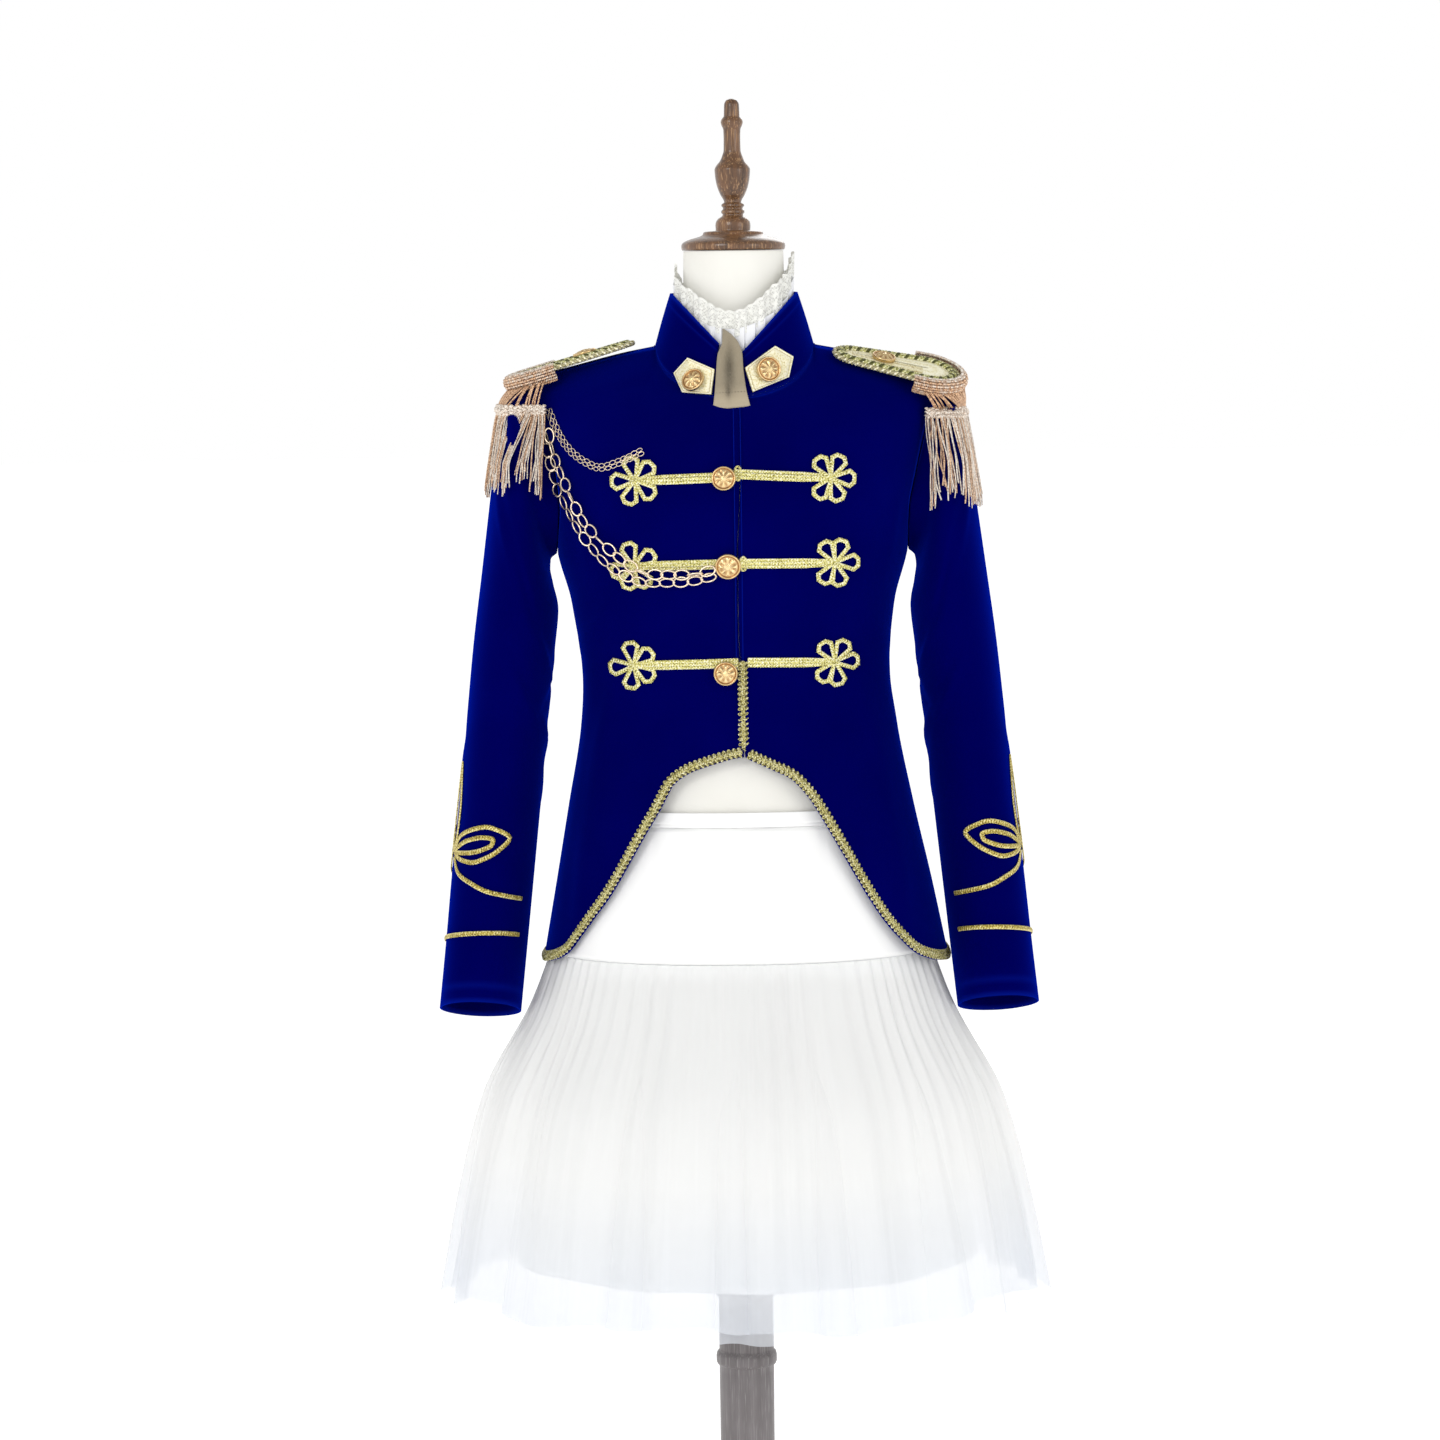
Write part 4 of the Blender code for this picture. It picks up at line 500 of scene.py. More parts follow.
def makeTaupe():
    cloth = Finish("taupeCloth", roughness=0.9, specular_ior_level=0.15, sheen_weight=0.2)
    weave = cloth.noise(cloth.place(), 1700.0, 2.0)
    cloud = cloth.noise(cloth.place(), 60.0, 2.0)
    # tone darkens the cloth: painted fold shade on the throat tab, dark thread on its stitches
    colour = cloth.mix(cloth.tone().within(0, 1), paint(186, 172, 146), paint(60, 53, 40))
    colour = cloth.mix((weave - 0.4).within(0, 0.5) * 0.35 + cloud * 0.1, colour, paint(196, 186, 166))
    cloth.relief(weave, 0.0003, 0.5)
    return cloth.give(base_color=colour)


def makeFloor():
    floor = Finish("paleFloor", roughness=0.9, specular_ior_level=0.1, emission_color=(1, 1, 1, 1),
                   emission_strength=0.45)
    cloud = floor.noise(floor.place(), 0.8, 2.0)
    return floor.give(base_color=floor.mix(cloud, paint(250, 250, 250), paint(255, 255, 255)))


velvet = makeVelvet()
jersey = makeJersey()
finialWood = makeWood("finialWood", (62, 38, 18), (142, 96, 56), (196, 154, 108), 0.26, 0.3)
poleWood = makeWood("poleWood", (94, 88, 88), (128, 122, 123), (152, 147, 147), 0.42, 0.1)
satin = makeSatin("yokeSatin", (248, 248, 247), (243, 243, 242), 0.42)
ruffleSatin = makeSatin("ruffleSatin", (240, 241, 243), (228, 229, 232), 0.4)
liningSatin = makeSatin("liningSatin", (250, 252, 252), (242, 244, 244), 0.48)
lace = makeLace()
tulle = makeTulle()
frogBraid = makeBraid("frogBraid", (222, 214, 128), (124, 114, 44), (255, 252, 224))
sleeveBraid = makeBraid("sleeveBraid", (186, 166, 70), (88, 66, 22), (244, 232, 168))
gimpBraid = makeBraid("gimpBraid", (208, 198, 118), (72, 62, 20), (255, 252, 222))
boardBraid = makeBraid("boardBraid", (196, 194, 116), (72, 74, 24), (252, 250, 214))
paleSatin = makeBraid("paleSatin", (236, 228, 180), (170, 142, 70), (254, 250, 224), 0.42, 0.1, 900.0)
paleCord = makeBraid("paleCord", (226, 216, 164), (116, 106, 50), (250, 246, 220), 0.38, 0.3)
bullion = makeBullion()
buttonMetal = makeMetal("buttonMetal", (146, 88, 32), (246, 206, 128), (255, 242, 200), 0.18)
chainMetal = makeMetal("chainMetal", (120, 88, 60), (224, 198, 164), (255, 240, 218), 0.18)
taupe = makeTaupe()
print("materials made")


# The body under the jacket, by height: half width, front depth, back depth, sway
jacket = {
    "cloth": 0.0018, "seam": 0.0003, "rounding": 2.3, "closing": 0.004, "armpit": 1.175, "tip": 1.344,
    "neckPoint": 1.370, "neckHalf": 0.0745, "neckFront": 1.322, "neckBack": 1.350,
    "columns": 48, "neckColumns": 16, "lowRows": 56, "highRows": 48,
}
bodyTable = np.array([
    (0.760, 0.1980, 0.150, 0.142, 0.005), (0.795, 0.1915, 0.143, 0.138, 0.004),
    (0.862, 0.1786, 0.131, 0.126, 0.003), (0.938, 0.1634, 0.117, 0.108, 0.001),
    (1.014, 0.1496, 0.102, 0.090, 0.000), (1.060, 0.1455, 0.096, 0.082, -0.002),
    (1.128, 0.1525, 0.110, 0.090, -0.004), (1.175, 0.1650, 0.122, 0.098, -0.004),
    (1.220, 0.1720, 0.126, 0.102, -0.002), (1.270, 0.1790, 0.116, 0.102, 0.000),
    (1.310, 0.1880, 0.090, 0.094, 0.000), (1.344, 0.1980, 0.045, 0.068, 0.000),
    (1.370, 0.0745, 0.002, 0.004, 0.000),
])
armhole = np.array([
    (1.175, 0.1650), (1.190, 0.1640), (1.215, 0.1630), (1.250, 0.1680), (1.290, 0.1775),
    (1.320, 0.1875), (1.344, 0.1980),
])
frontHem = np.array([
    (0, 0.9900, 0.9905), (8, 0.9825, 0.9785), (14, 0.9765, 0.9700), (20, 0.9655, 0.9510),
    (24, 0.9440, 0.9310), (30, 0.9160, 0.8970), (36, 0.8870, 0.8635), (42, 0.8605, 0.8360),
    (48, 0.8400, 0.8175), (54, 0.8210, 0.8040), (60, 0.8055, 0.7975), (68, 0.7975, 0.7925),
    (80, 0.7920, 0.7890), (90, 0.7900, 0.7880),
])
# Soft folds of the jacket: x, z, heading in degrees, half length, half width, depth; + is proud
frontFolds = np.array([
    (-0.128, 1.118, 62, 0.050, 0.0060, 0.0016), (-0.142, 1.085, 48, 0.040, 0.0055, -0.0014),
    (-0.120, 1.040, 74, 0.055, 0.0070, 0.0013), (-0.135, 0.960, 82, 0.070, 0.0090, 0.0018),
    (-0.112, 0.905, 78, 0.060, 0.0080, -0.0015), (-0.150, 0.870, 86, 0.050, 0.0075, 0.0016),
    (0.126, 1.110, 118, 0.050, 0.0060, 0.0016), (0.141, 1.078, 134, 0.038, 0.0055, -0.0014),
    (0.118, 1.032, 104, 0.055, 0.0070, 0.0013), (0.137, 0.950, 97, 0.070, 0.0090, 0.0018),
    (0.110, 0.900, 103, 0.060, 0.0080, -0.0016), (0.152, 0.862, 94, 0.050, 0.0075, 0.0016),
    (-0.146, 1.205, 100, 0.035, 0.0050, 0.0012), (0.146, 1.200, 80, 0.035, 0.0050, 0.0012),
])
backFolds = np.array([
    (-0.060, 1.060, 22, 0.050, 0.0065, 0.0018), (0.066, 1.052, 160, 0.048, 0.0065, 0.0018),
    (-0.030, 1.020, 86, 0.070, 0.0080, -0.0016), (0.034, 1.010, 95, 0.066, 0.0080, -0.0014),
    (-0.090, 0.930, 82, 0.090, 0.0110, 0.0022), (0.094, 0.925, 99, 0.090, 0.0110, 0.0022),
    (-0.045, 0.880, 88, 0.080, 0.0100, -0.0018), (0.050, 0.872, 92, 0.080, 0.0100, 0.0018),
    (0.004, 0.900, 90, 0.110, 0.0120, 0.0020), (-0.135, 0.870, 85, 0.060, 0.0090, -0.0016),
    (0.139, 0.875, 95, 0.060, 0.0090, 0.0016), (-0.110, 1.150, 48, 0.050, 0.0070, 0.0016),
    (0.112, 1.145, 132, 0.050, 0.0070, 0.0016),
])


def foldHeight(x, z, table):
    # Sum of long creases
    dx, dz = x[..., None] - table[:, 0], z[..., None] - table[:, 1]
    turn = np.radians(table[:, 2])
    along = dx * np.cos(turn) + dz * np.sin(turn)
    across = (dz * np.cos(turn) - dx * np.sin(turn)) / table[:, 4]
    return (table[:, 5] * np.exp(-(along / table[:, 3]) ** 2) * crease(across, 1.3)).sum(axis=-1)


def settled(grid):
    # The shoulders drop a little towards their tips
    reach = np.clip((np.abs(grid[..., 0]) - 0.09) / 0.09, 0, 1)
    rise = np.clip((grid[..., 2] - 1.290) / 0.045, 0, 1)
    drop = 0.006 * reach ** 2 * (3 - 2 * reach) * rise ** 2 * (3 - 2 * rise)
    return grid - drop[..., None] * np.array([0, 0, 1])


def bodyAt(z):
    # The body's row at a height, read smoothly between the table's
    return smoothCurve(bodyTable[:, 0], bodyTable[:, 1:], z)


def bodyDepth(x, z, front):
    # Depth of the jacket at x from its own middle: a squared ellipse, y = depth (1 - share^p)^(1/p)
    rows = bodyAt(z)
    share = np.clip(np.abs(x) / rows[..., 0], 0, 1)
    depth = -rows[..., 1] if front else rows[..., 2]
    return depth * (1 - share ** jacket["rounding"]) ** (1 / jacket["rounding"])


def ridgeHeight(x):
    # Height of the shoulder's ridge, where the body is as wide as x
    z = np.linspace(jacket["neckPoint"], jacket["tip"], 60)
    return np.interp(x, bodyAt(z)[:, 0], z)


def halfPanel(side, front):
    # Rows from hem to shoulder, columns from the middle to the side seam, then fold heights
    angles = np.linspace(0, math.pi / 2, jacket["columns"] + 1)
    share = np.sin(angles) ** (2 / jacket["rounding"])
    low = np.linspace(0, 1, jacket["lowRows"] + 1)[:, None]
    if front:
        hem = smoothCurve(frontHem[:, 0], frontHem[:, 1 if side < 0 else 2], np.degrees(angles))
    else:
        hem = 0.789 + 0.004 * np.cos(angles)
    zLow = hem * (1 - low) + jacket["armpit"] * low
    xLow = bodyAt(zLow)[..., 0] * share
    turn = np.linspace(0, math.pi / 2, jacket["neckColumns"] + 1)
    neckZ = jacket["neckFront"] if front else jacket["neckBack"]
    reach = np.linspace(jacket["neckHalf"], bodyAt(jacket["tip"])[0], len(angles) - jacket["neckColumns"])[1:]
    topX = np.concatenate([jacket["neckHalf"] * np.sin(turn), reach])
    topZ = np.concatenate([neckZ + (jacket["neckPoint"] - neckZ) * (1 - np.cos(turn)), ridgeHeight(reach)])
    up = np.linspace(0, 1, jacket["highRows"] + 1)[1:, None]
    zUp = jacket["armpit"] + (topZ - jacket["armpit"]) * up
    xUp = xLow[-1] + (topX - xLow[-1]) * up
    xUp = xUp + (smoothCurve(armhole[:, 0], armhole[:, 1], zUp[:, -1:]) - xUp[:, -1:]) * share ** 6
    x, z = np.concatenate([xLow, xUp]), np.concatenate([zLow, zUp])
    if front:
        x[:, 0] = side * jacket["closing"] + 0.0004
    y = bodyDepth(x, z, front)
    y[-1, jacket["neckColumns"]:] = 0.0
    last = jacket["highRows"] // 6     # the shoulder bends over smoothly in the last sixth
    t = np.linspace(0, 1, last + 1)[:, None]
    y[-last - 1:] = y[-1] + (y[-last - 1] - y[-1]) * (1 - t ** 1.15) ** (1 / 1.15)
    grid = np.stack([side * x + bodyAt(z)[..., 3], y, z], axis=2)
    normals = awayFrom(np.zeros(3), grid, gridNormals(grid))
    # The folds die out at the side seam, towards the hem and over the chest
    calm = np.clip(np.cos(angles) * 6, 0, 1) * np.clip((z - hem) / 0.03, 0.25, 1)
    calm = calm * np.clip((1.26 - z) / 0.04, 0, 1)
    height = foldHeight(grid[..., 0], z, frontFolds if front else backFolds) * calm
    return settled(grid + normals * height[..., None])


def panelShell(grid, front):
    # The panel moved off the side seam, as a wall whose edge is level there
    normals = awayFrom(np.zeros(3), grid, gridNormals(grid))
    seam = np.abs(grid[..., 1]) < 1e-5
    normals[seam, 1] = 0
    normals = unit(normals)
    moved = grid + np.array([0, -jacket["seam"] if front else jacket["seam"], 0])
    us = np.linspace(0, 0.34, grid.shape[1])
    return moved, shellChunk(moved, normals, jacket["cloth"], us, grid[..., 2].mean(axis=1))


skins = {}
for name, side in (("jacket_front_left", -1), ("jacket_front_right", 1)):
    skins[name], chunk = panelShell(halfPanel(side, True), True)
    addSheet(titled(name), chunk, velvet, "velvet", [name], (0.27, 0.60), 0.68, "hung", "form_torso")
halves = [halfPanel(side, False) for side in (-1, 1)]
backGrid = np.concatenate([halves[0][:, ::-1], halves[1][:, 1:]], axis=1)
skins["jacket_back"], chunk = panelShell(backGrid, False)
addSheet("JacketBack", chunk, velvet, "velvet", ["jacket_back"], (0.52, 0.60), 0.83, "hung", "form_torso")

# Sleeve rings by their inner and outer points: x, z, x, z, then y, half depth and tilt
sleeve = {"cloth": 0.0018, "rows": 110, "columns": 96, "sway": -0.0030, "seam": 0.0012}
sleeveTable = np.array([
    (0.1720, 1.1700, 0.2110, 1.3330, 0.000, 0.0600, 0.00),
    (0.1730, 1.1600, 0.2195, 1.2960, 0.000, 0.0655, 0.00),
    (0.1705, 1.1450, 0.2280, 1.2350, -0.001, 0.0675, 0.00),
    (0.1665, 1.1220, 0.2380, 1.1600, -0.003, 0.0660, 0.00),
    (0.1715, 1.0750, 0.2470, 1.0920, -0.006, 0.0620, 0.00),
    (0.1775, 1.0150, 0.2545, 1.0200, -0.010, 0.0585, 0.05),
    (0.1850, 0.9450, 0.2620, 0.9480, -0.016, 0.0550, 0.10),
    (0.1925, 0.8750, 0.2700, 0.8780, -0.022, 0.0525, 0.18),
    (0.2000, 0.8050, 0.2770, 0.8080, -0.028, 0.0500, 0.25),
    (0.2065, 0.7450, 0.2835, 0.7480, -0.033, 0.0480, 0.29),
])
# Soft folds of a sleeve: turn and height in degrees and metres, slant, half widths, depth
sleeveFolds = np.array([
    (40, 1.085, 0.0009, 34, 0.0075, 0.0022), (350, 1.062, -0.0008, 40, 0.0080, -0.0018),
    (62, 1.040, 0.0012, 30, 0.0070, 0.0018), (20, 1.012, 0.0006, 44, 0.0090, 0.0020),
    (300, 1.075, -0.0014, 36, 0.0080, 0.0018), (120, 1.200, 0.0016, 30, 0.0110, 0.0016),
    (230, 1.190, -0.0014, 34, 0.0110, 0.0018), (80, 1.150, 0.0020, 26, 0.0090, -0.0014),
    (330, 0.930, 0.0010, 36, 0.0100, 0.0014), (200, 0.965, -0.0008, 40, 0.0110, 0.0012),
])


def sleeveGrid(side):
    # Slanted rings, joined by smooth curves down the sleeve; turn 0 is the inner side, 90 the front
    turn = np.arange(sleeve["columns"]) * 2 * math.pi / sleeve["columns"]
    height = 1 - np.abs(turn / math.pi - 1)
    armZ = jacket["armpit"] + (jacket["tip"] - jacket["armpit"]) * height
    armX = smoothCurve(armhole[:, 0], armhole[:, 1], armZ)
    armY = np.where(turn < math.pi, bodyDepth(armX, armZ, True), bodyDepth(armX, armZ, False))
    first = np.stack([side * (armX + sleeve["seam"]) + bodyAt(armZ)[:, 3], armY,
                      armZ + 0.0007 * (1 - height) ** 2], axis=1)
    t = sleeveTable[:, None]
    index = np.arange(len(sleeveTable))[:, None]
    y = t[..., 4] - np.sin(turn) * t[..., 5]
    x = (t[..., 0] + t[..., 2]) / 2 - np.cos(turn) * (t[..., 2] - t[..., 0]) / 2
    z = (t[..., 1] + t[..., 3]) / 2 - np.cos(turn) * (t[..., 3] - t[..., 1]) / 2 - (y - t[..., 4]) * t[..., 6]
    low = np.clip(index / 3, 0, 1)
    sway = sleeve["sway"] * low + bodyAt(jacket["armpit"])[3] * (1 - low)
    rings = np.concatenate([first[None], np.stack([side * x + sway, y, z], axis=2)])
    grid = smoothCurve(np.arange(len(rings)), rings, np.linspace(0, len(rings) - 1, sleeve["rows"]))
    centre = grid.mean(axis=1, keepdims=True)
    normals = gridNormals(grid, True)
    normals = normals if np.einsum("ijk,ijk->", normals, grid - centre) > 0 else -normals
    away = (np.degrees(turn)[:, None] - sleeveFolds[:, 0] + 180) % 360 - 180
    rise = (grid[..., 2, None] - sleeveFolds[:, 1] - sleeveFolds[:, 2] * away) / sleeveFolds[:, 4]
    folds = (sleeveFolds[:, 5] * np.exp(-(away / sleeveFolds[:, 3]) ** 2) * crease(rise, 1.2)).sum(axis=-1)
    calm = np.clip(np.arange(sleeve["rows"]) / 12, 0, 1)[:, None]
    return settled(grid + normals * (folds * calm)[..., None]), normals


for name, side in (("left", -1), ("right", 1)):
    grid, normals = sleeveGrid(side)
    skins["sleeve_" + name] = np.concatenate([grid, grid[:, :1]], axis=1)
    us = np.linspace(0, 0.36, sleeve["columns"] + 1)
    drop = np.linspace(0, 0.6, sleeve["rows"])
    # Painted sheen: a lighter blue line along the cuff's edge and a fainter one above it
    hemSheen = bump(drop, 0.583, 0.0030) * 0.25 + bump(drop, 0.600, 0.0030) * 0.6
    tone = np.tile(np.repeat(hemSheen, sleeve["columns"]), 2)
    chunk = shellChunk(grid, normals, sleeve["cloth"], us, drop, closed=True)
    addSheet("Sleeve" + name.title(), chunk, velvet, "velvet", ["sleeve_" + name],
             (0.38, 0.60), 0.73, "hung", "jacket_back", tone=tone)
print("jacket panels and sleeves made")

# Collar, from the neckline up to an edge that dips to a V at the front
collar = {"topHalf": 0.0600, "topFront": -0.0665, "topBack": 0.0540, "low": 1.3570, "side": 1.4190,
          "openLeft": 14.0, "openRight": 5.0, "rows": 40, "columns": 150, "bow": 0.0004, "cloth": 0.0018}


def neckTurn(degrees):
    # Whether a turn round the neck is in the front half, and its angle from the middle of its half
    front = np.abs(degrees) <= 90
    return front, np.radians(np.where(front, np.abs(degrees), 180 - np.abs(degrees)))


def neckline(degrees):
    # The jacket's neck edge: x = half width times sin(turn), z rises by 1 - cos(turn), y lies on the body
    front, turn = neckTurn(degrees)
    neckZ = np.where(front, jacket["neckFront"], jacket["neckBack"])
    x = jacket["neckHalf"] * np.sin(turn)
    z = neckZ + (jacket["neckPoint"] - neckZ) * (1 - np.cos(turn))
    y = np.where(front, bodyDepth(x, z, True), bodyDepth(x, z, False))
    return np.stack([np.copysign(x, degrees), y, z], axis=-1)


def collarTop(degrees):
    # The collar's upper edge: an ellipse in plan, lowest at the front
    front, turn = neckTurn(degrees)
    x = np.copysign(collar["topHalf"] * np.sin(turn), degrees)
    y = np.where(front, collar["topFront"], collar["topBack"]) * np.cos(turn)
    low = np.where(front, collar["low"], collar["side"] + 0.006)
    return np.stack([x, y, low + (collar["side"] - low) * np.sin(turn)], axis=-1)


degrees = np.linspace(-360 + collar["openRight"], -collar["openLeft"], collar["columns"])
degrees = np.where(degrees < -180, degrees + 360, degrees)
share = np.linspace(0, 1, collar["rows"])[:, None, None]
grid = (neckline(degrees) + np.array([0, 0, 0.0012])) * (1 - share) + collarTop(degrees) * share
level = np.linalg.norm(grid[..., :2], axis=2, keepdims=True)
grid[..., :2] *= 1 + collar["bow"] * np.sin(math.pi * share) / level
normals = unit(awayFrom(np.zeros(3), grid, gridNormals(grid)) * levelOnly)
rise = share[:, 0]
# Painted sheen: lighter blue along the collar's top and bottom edges, with a faint line below the top
lines = bump(rise, 1.0, 0.035) * 0.8 + bump(rise, 0.84, 0.016) * 0.30 + bump(rise, 0.0, 0.03) * 0.45
tone = np.tile(np.repeat(lines, len(degrees)), 2)
chunk = shellChunk(grid, normals, collar["cloth"], np.linspace(0, 0.42, len(degrees)), share[:, 0, 0] * 0.06)
addSheet("JacketCollar", chunk, velvet, "velvet", ["jacket_collar"],
         (0.42, 0.066), 0.92, "hung", "jacket_back", tone=tone)

# The neckline seam, painted a lighter blue by tone as sheen
seamLine = neckline(degrees)
seamLine = seamLine + unit(seamLine * levelOnly) * 0.0004
chunk = tubeChunk(seamLine, 0.0011, 8, (0, 0, 1))
addPiece("CollarSeam", [chunk], velvet, "velvet", tone=np.full(len(chunk[0]), 0.30))

# Ruffle: satin knife pleats with a lace edge over them
ruffle = {"pleats": 34, "depth": 0.0024, "perPleat": 12, "rows": 14, "inset": 0.0052}


def ruffleRim(degrees):
    # The collar's edge, and the ruffle's lowest and highest z over it
    edge = collarTop(degrees)
    dip = np.where(np.abs(degrees) < 90, np.cos(np.radians(degrees)), 0.0).clip(0)
    top = 1.4400 - 0.0500 * dip ** 0.8 + 0.005 * np.sin(np.radians(degrees))
    top = top - 0.026 * np.clip((np.abs(degrees) - 92) / 40, 0, 1)     # the back is lower, behind the neck
    return edge, edge[..., 2] - 0.022 - 0.006 * dip, top


columns = ruffle["pleats"] * ruffle["perPleat"]
degrees = np.arange(columns) * 360 / columns
degrees = np.where(degrees > 180, degrees - 360, degrees)
edge, bottom, top = ruffleRim(degrees)
along = (degrees * ruffle["pleats"] / 360) % 1.0
knife = np.where(along < 0.86, along / 0.86, (1 - along) / 0.14) - 0.5
ring = np.linalg.norm(edge[:, :2], axis=1)
share = np.linspace(0, 1, ruffle["rows"])[:, None]


def ruffleGrid(low, high, wave, out):
    # Level rays through the collar's edge, moved in, with the pleats on them
    rise = low + (high - low) * share
    radius = ring - ruffle["inset"] + wave * (0.5 + 0.7 * rise) + 0.0012 * rise + out
    plan = [edge[:, k] / ring * radius for k in (0, 1)]
    return np.stack([*plan, bottom + (top - bottom) * rise], axis=2)


us = np.arange(columns + 1) * 0.36 / columns
satinGrid = ruffleGrid(0.0, 0.92, knife * ruffle["depth"], 0.0)
normals = unit(satinGrid * levelOnly)
chunk = shellChunk(satinGrid, normals, 0.0005, us, share[:, 0] * 0.03, closed=True)
addSheet("NeckRuffleSatin", chunk, ruffleSatin, "satin", ["neck_ruffle"],
         (0.50, 0.040), 0.70, "gathered", "jacket_collar", sharp=35)
# The lace stands on the satin, with a scalloped top
wave = 0.0012 * np.sin(np.radians(degrees) * 17) + 0.0007 * np.sin(np.radians(degrees) * 41)
laceGrid = ruffleGrid(0.80, 1.0, wave, -0.0008)
scallop = np.abs(np.sin(np.radians(degrees) * 20)) * 0.0018
around = np.radians(degrees)
lift = 0.0110 + 0.0100 * np.where(np.abs(degrees) < 90, np.sin(2 * around) ** 2, 0)
laceGrid[..., 2] += (scallop + lift) * share
chunk = sheetChunk(laceGrid, us, share[:, 0] * 0.022, closed=True)
addSheet("NeckRuffleLace", chunk, lace, "satin", (), (0.36, 0.024), 0.90, "gathered", "jacket_collar")

# Throat tab: by height its edges, and the depth of the left, middle and right of the solid
tab = {"thickness": 0.0014, "rows": 46, "columns": 22, "top": 1.3855, "bottom": 1.3125}
tabEdges = np.array([
    (1.3855, -0.0111, -0.0098), (1.3800, -0.0113, -0.0025), (1.3725, -0.0118, 0.0036),
    (1.3620, -0.0160, 0.0070), (1.3500, -0.0173, 0.0076), (1.3300, -0.0189, 0.0100),
    (1.3125, -0.0211, 0.0138),
])
tabDepth = np.array([
    (1.385, -0.0623, -0.0661, -0.0639), (1.365, -0.0689, -0.0725, -0.0701),
    (1.340, -0.0770, -0.0804, -0.0778), (1.3145, -0.0854, -0.0886, -0.0857),
])
z = np.linspace(tab["top"], tab["bottom"], tab["rows"])[:, None]
across = np.linspace(-1, 1, tab["columns"])
edges = smoothCurve(tabEdges[:, 0], tabEdges[:, 1:], z[:, 0])
depths = smoothCurve(tabDepth[:, 0], tabDepth[:, 1:], z[:, 0])
x = (edges[:, :1] + edges[:, 1:]) / 2 + across * (edges[:, 1:] - edges[:, :1]) / 2
y = depths[:, :1] * (1 - across) / 2 + depths[:, 2:] * (1 + across) / 2
y = y + (depths[:, 1:2] - (depths[:, :1] + depths[:, 2:]) / 2) * (1 - np.abs(across) ** 1.6)
down = (tab["top"] - z) / (tab["top"] - tab["bottom"])
grid = np.stack([x, y - 0.0004, z + 0.0014 * across * down ** 3], axis=2)
# Painted shade: darker down the tab's middle fold, and lighter towards its bottom
dark = bump(across, -0.05, 0.40) * bump(down, 0.52, 0.30)
dark = dark + bump(across, -0.15, 0.16) * bump(down, 0.80, 0.08) * 0.8
tone = np.tile((0.46 + dark * 0.5 - 0.34 * np.clip((down - 0.70) / 0.2, 0, 1)).ravel(), 2)
chunk = shellChunk(grid, np.broadcast_to(np.array([0, -1.0, 0]), grid.shape), tab["thickness"],
                   np.linspace(0, 0.03, tab["columns"]), np.linspace(0, 0.07, tab["rows"]))
addSheet("ThroatTab", chunk, taupe, "taupe", ["throat_tab"],
         (0.034, 0.074), 0.80, "hung", "neck_ruffle", tone=tone)
row = int(tab["rows"] * 0.80)
stitches = (grid[row, 1:-1:2] + grid[row, 2::2]) / 2
dash = np.array([-0.0005, 0.0005])[:, None] * np.array([1, 0, 0])
chunk = tubeChunk(stitches[:, None] + dash + np.array([0, -0.0002, 0]), 0.00022, 5)
addPiece("ThroatTabStitches", [chunk], taupe, "taupe", tone=np.full(len(chunk[0]), 1.0))
print("collar, ruffle and throat tab made")


# Laying trims on the cloth
def skinTree(names):
    # One tree over the outer faces of some pieces
    points, faces, first = [], [], 0
    for name in names:
        grid = skins[name]
        cells, _, _ = gridQuads(*grid.shape[:2])
        points.append(grid.reshape(-1, 3))
        faces.append(cells + first)
        first += grid.shape[0] * grid.shape[1]
    return BVHTree.FromPolygons(np.concatenate(points).tolist(), np.concatenate(faces).tolist())


def castOn(tree, origins, headings):
    # Where each ray first meets the skin, and the skin's normal there, turned against the ray
    starts, ways = np.broadcast_arrays(np.asarray(origins, float), np.asarray(headings, float))
    found = []
    normal, reach = Vector((0, -1, 0)), 0.88
    for start, way in zip(starts.reshape(-1, 3).tolist(), ways.reshape(-1, 3).tolist()):
        start, way = Vector(start), Vector(way)
        hit = tree.ray_cast(start, way)
        if hit[0] is not None:     # a ray that slips through a seam keeps the last one's depth
            normal, reach = hit[1], hit[3]
        found.append((*(start + way * reach), *normal))
    found = np.array(found).reshape(starts.shape[:-1] + (6,))
    places, normals = found[..., :3], found[..., 3:]
    against = np.einsum("...k,...k->...", normals, ways)
    return places, unit(np.where(against[..., None] > 0, -normals, normals))


frontTree = skinTree(["jacket_front_left", "jacket_front_right", "sleeve_left", "sleeve_right"])


def onFront(x, z, lift):
    # Points over the front at x and z, and the way out of the cloth there
    x, z = np.broadcast_arrays(x, z)
    places, normals = castOn(frontTree, np.stack([x, np.full(x.shape, -1.0), z], axis=-1), (0, 1, 0))
    normals = unit(normals + np.array([0, -0.6, 0]))
    return places + normals * np.asarray(lift)[..., None], normals


# Frogs: five loops of braid and a bar of three
frog = {"reach": 0.0208, "width": 0.0021, "flat": 0.34, "lift": 0.0014}
# The knot's middle, the bar's end, and the way that each petal points, in degrees from the bar
frogTable = [
    ("frog_left_top", -0.0931, 1.2471, -0.0040, 1.2500, (42, 102, 180, 250, 318)),
    ("frog_right_top", 0.0867, 1.2477, -0.0015, 1.2525, (55, 113, 180, 247, 308)),
    ("frog_left_middle", -0.0951, 1.1686, -0.0040, 1.1705, (32, 105, 196, 250, 303)),
    ("frog_right_middle", 0.0896, 1.1695, 0.0010, 1.1705, (56, 105, 180, 251, 301)),
    ("frog_left_bottom", -0.0976, 1.0748, 0.0005, 1.0772, (37, 97, 186, 262, 325)),
    ("frog_right_bottom", 0.0890, 1.0758, 0.0075, 1.0775, (51, 100, 182, 242, 304)),
]
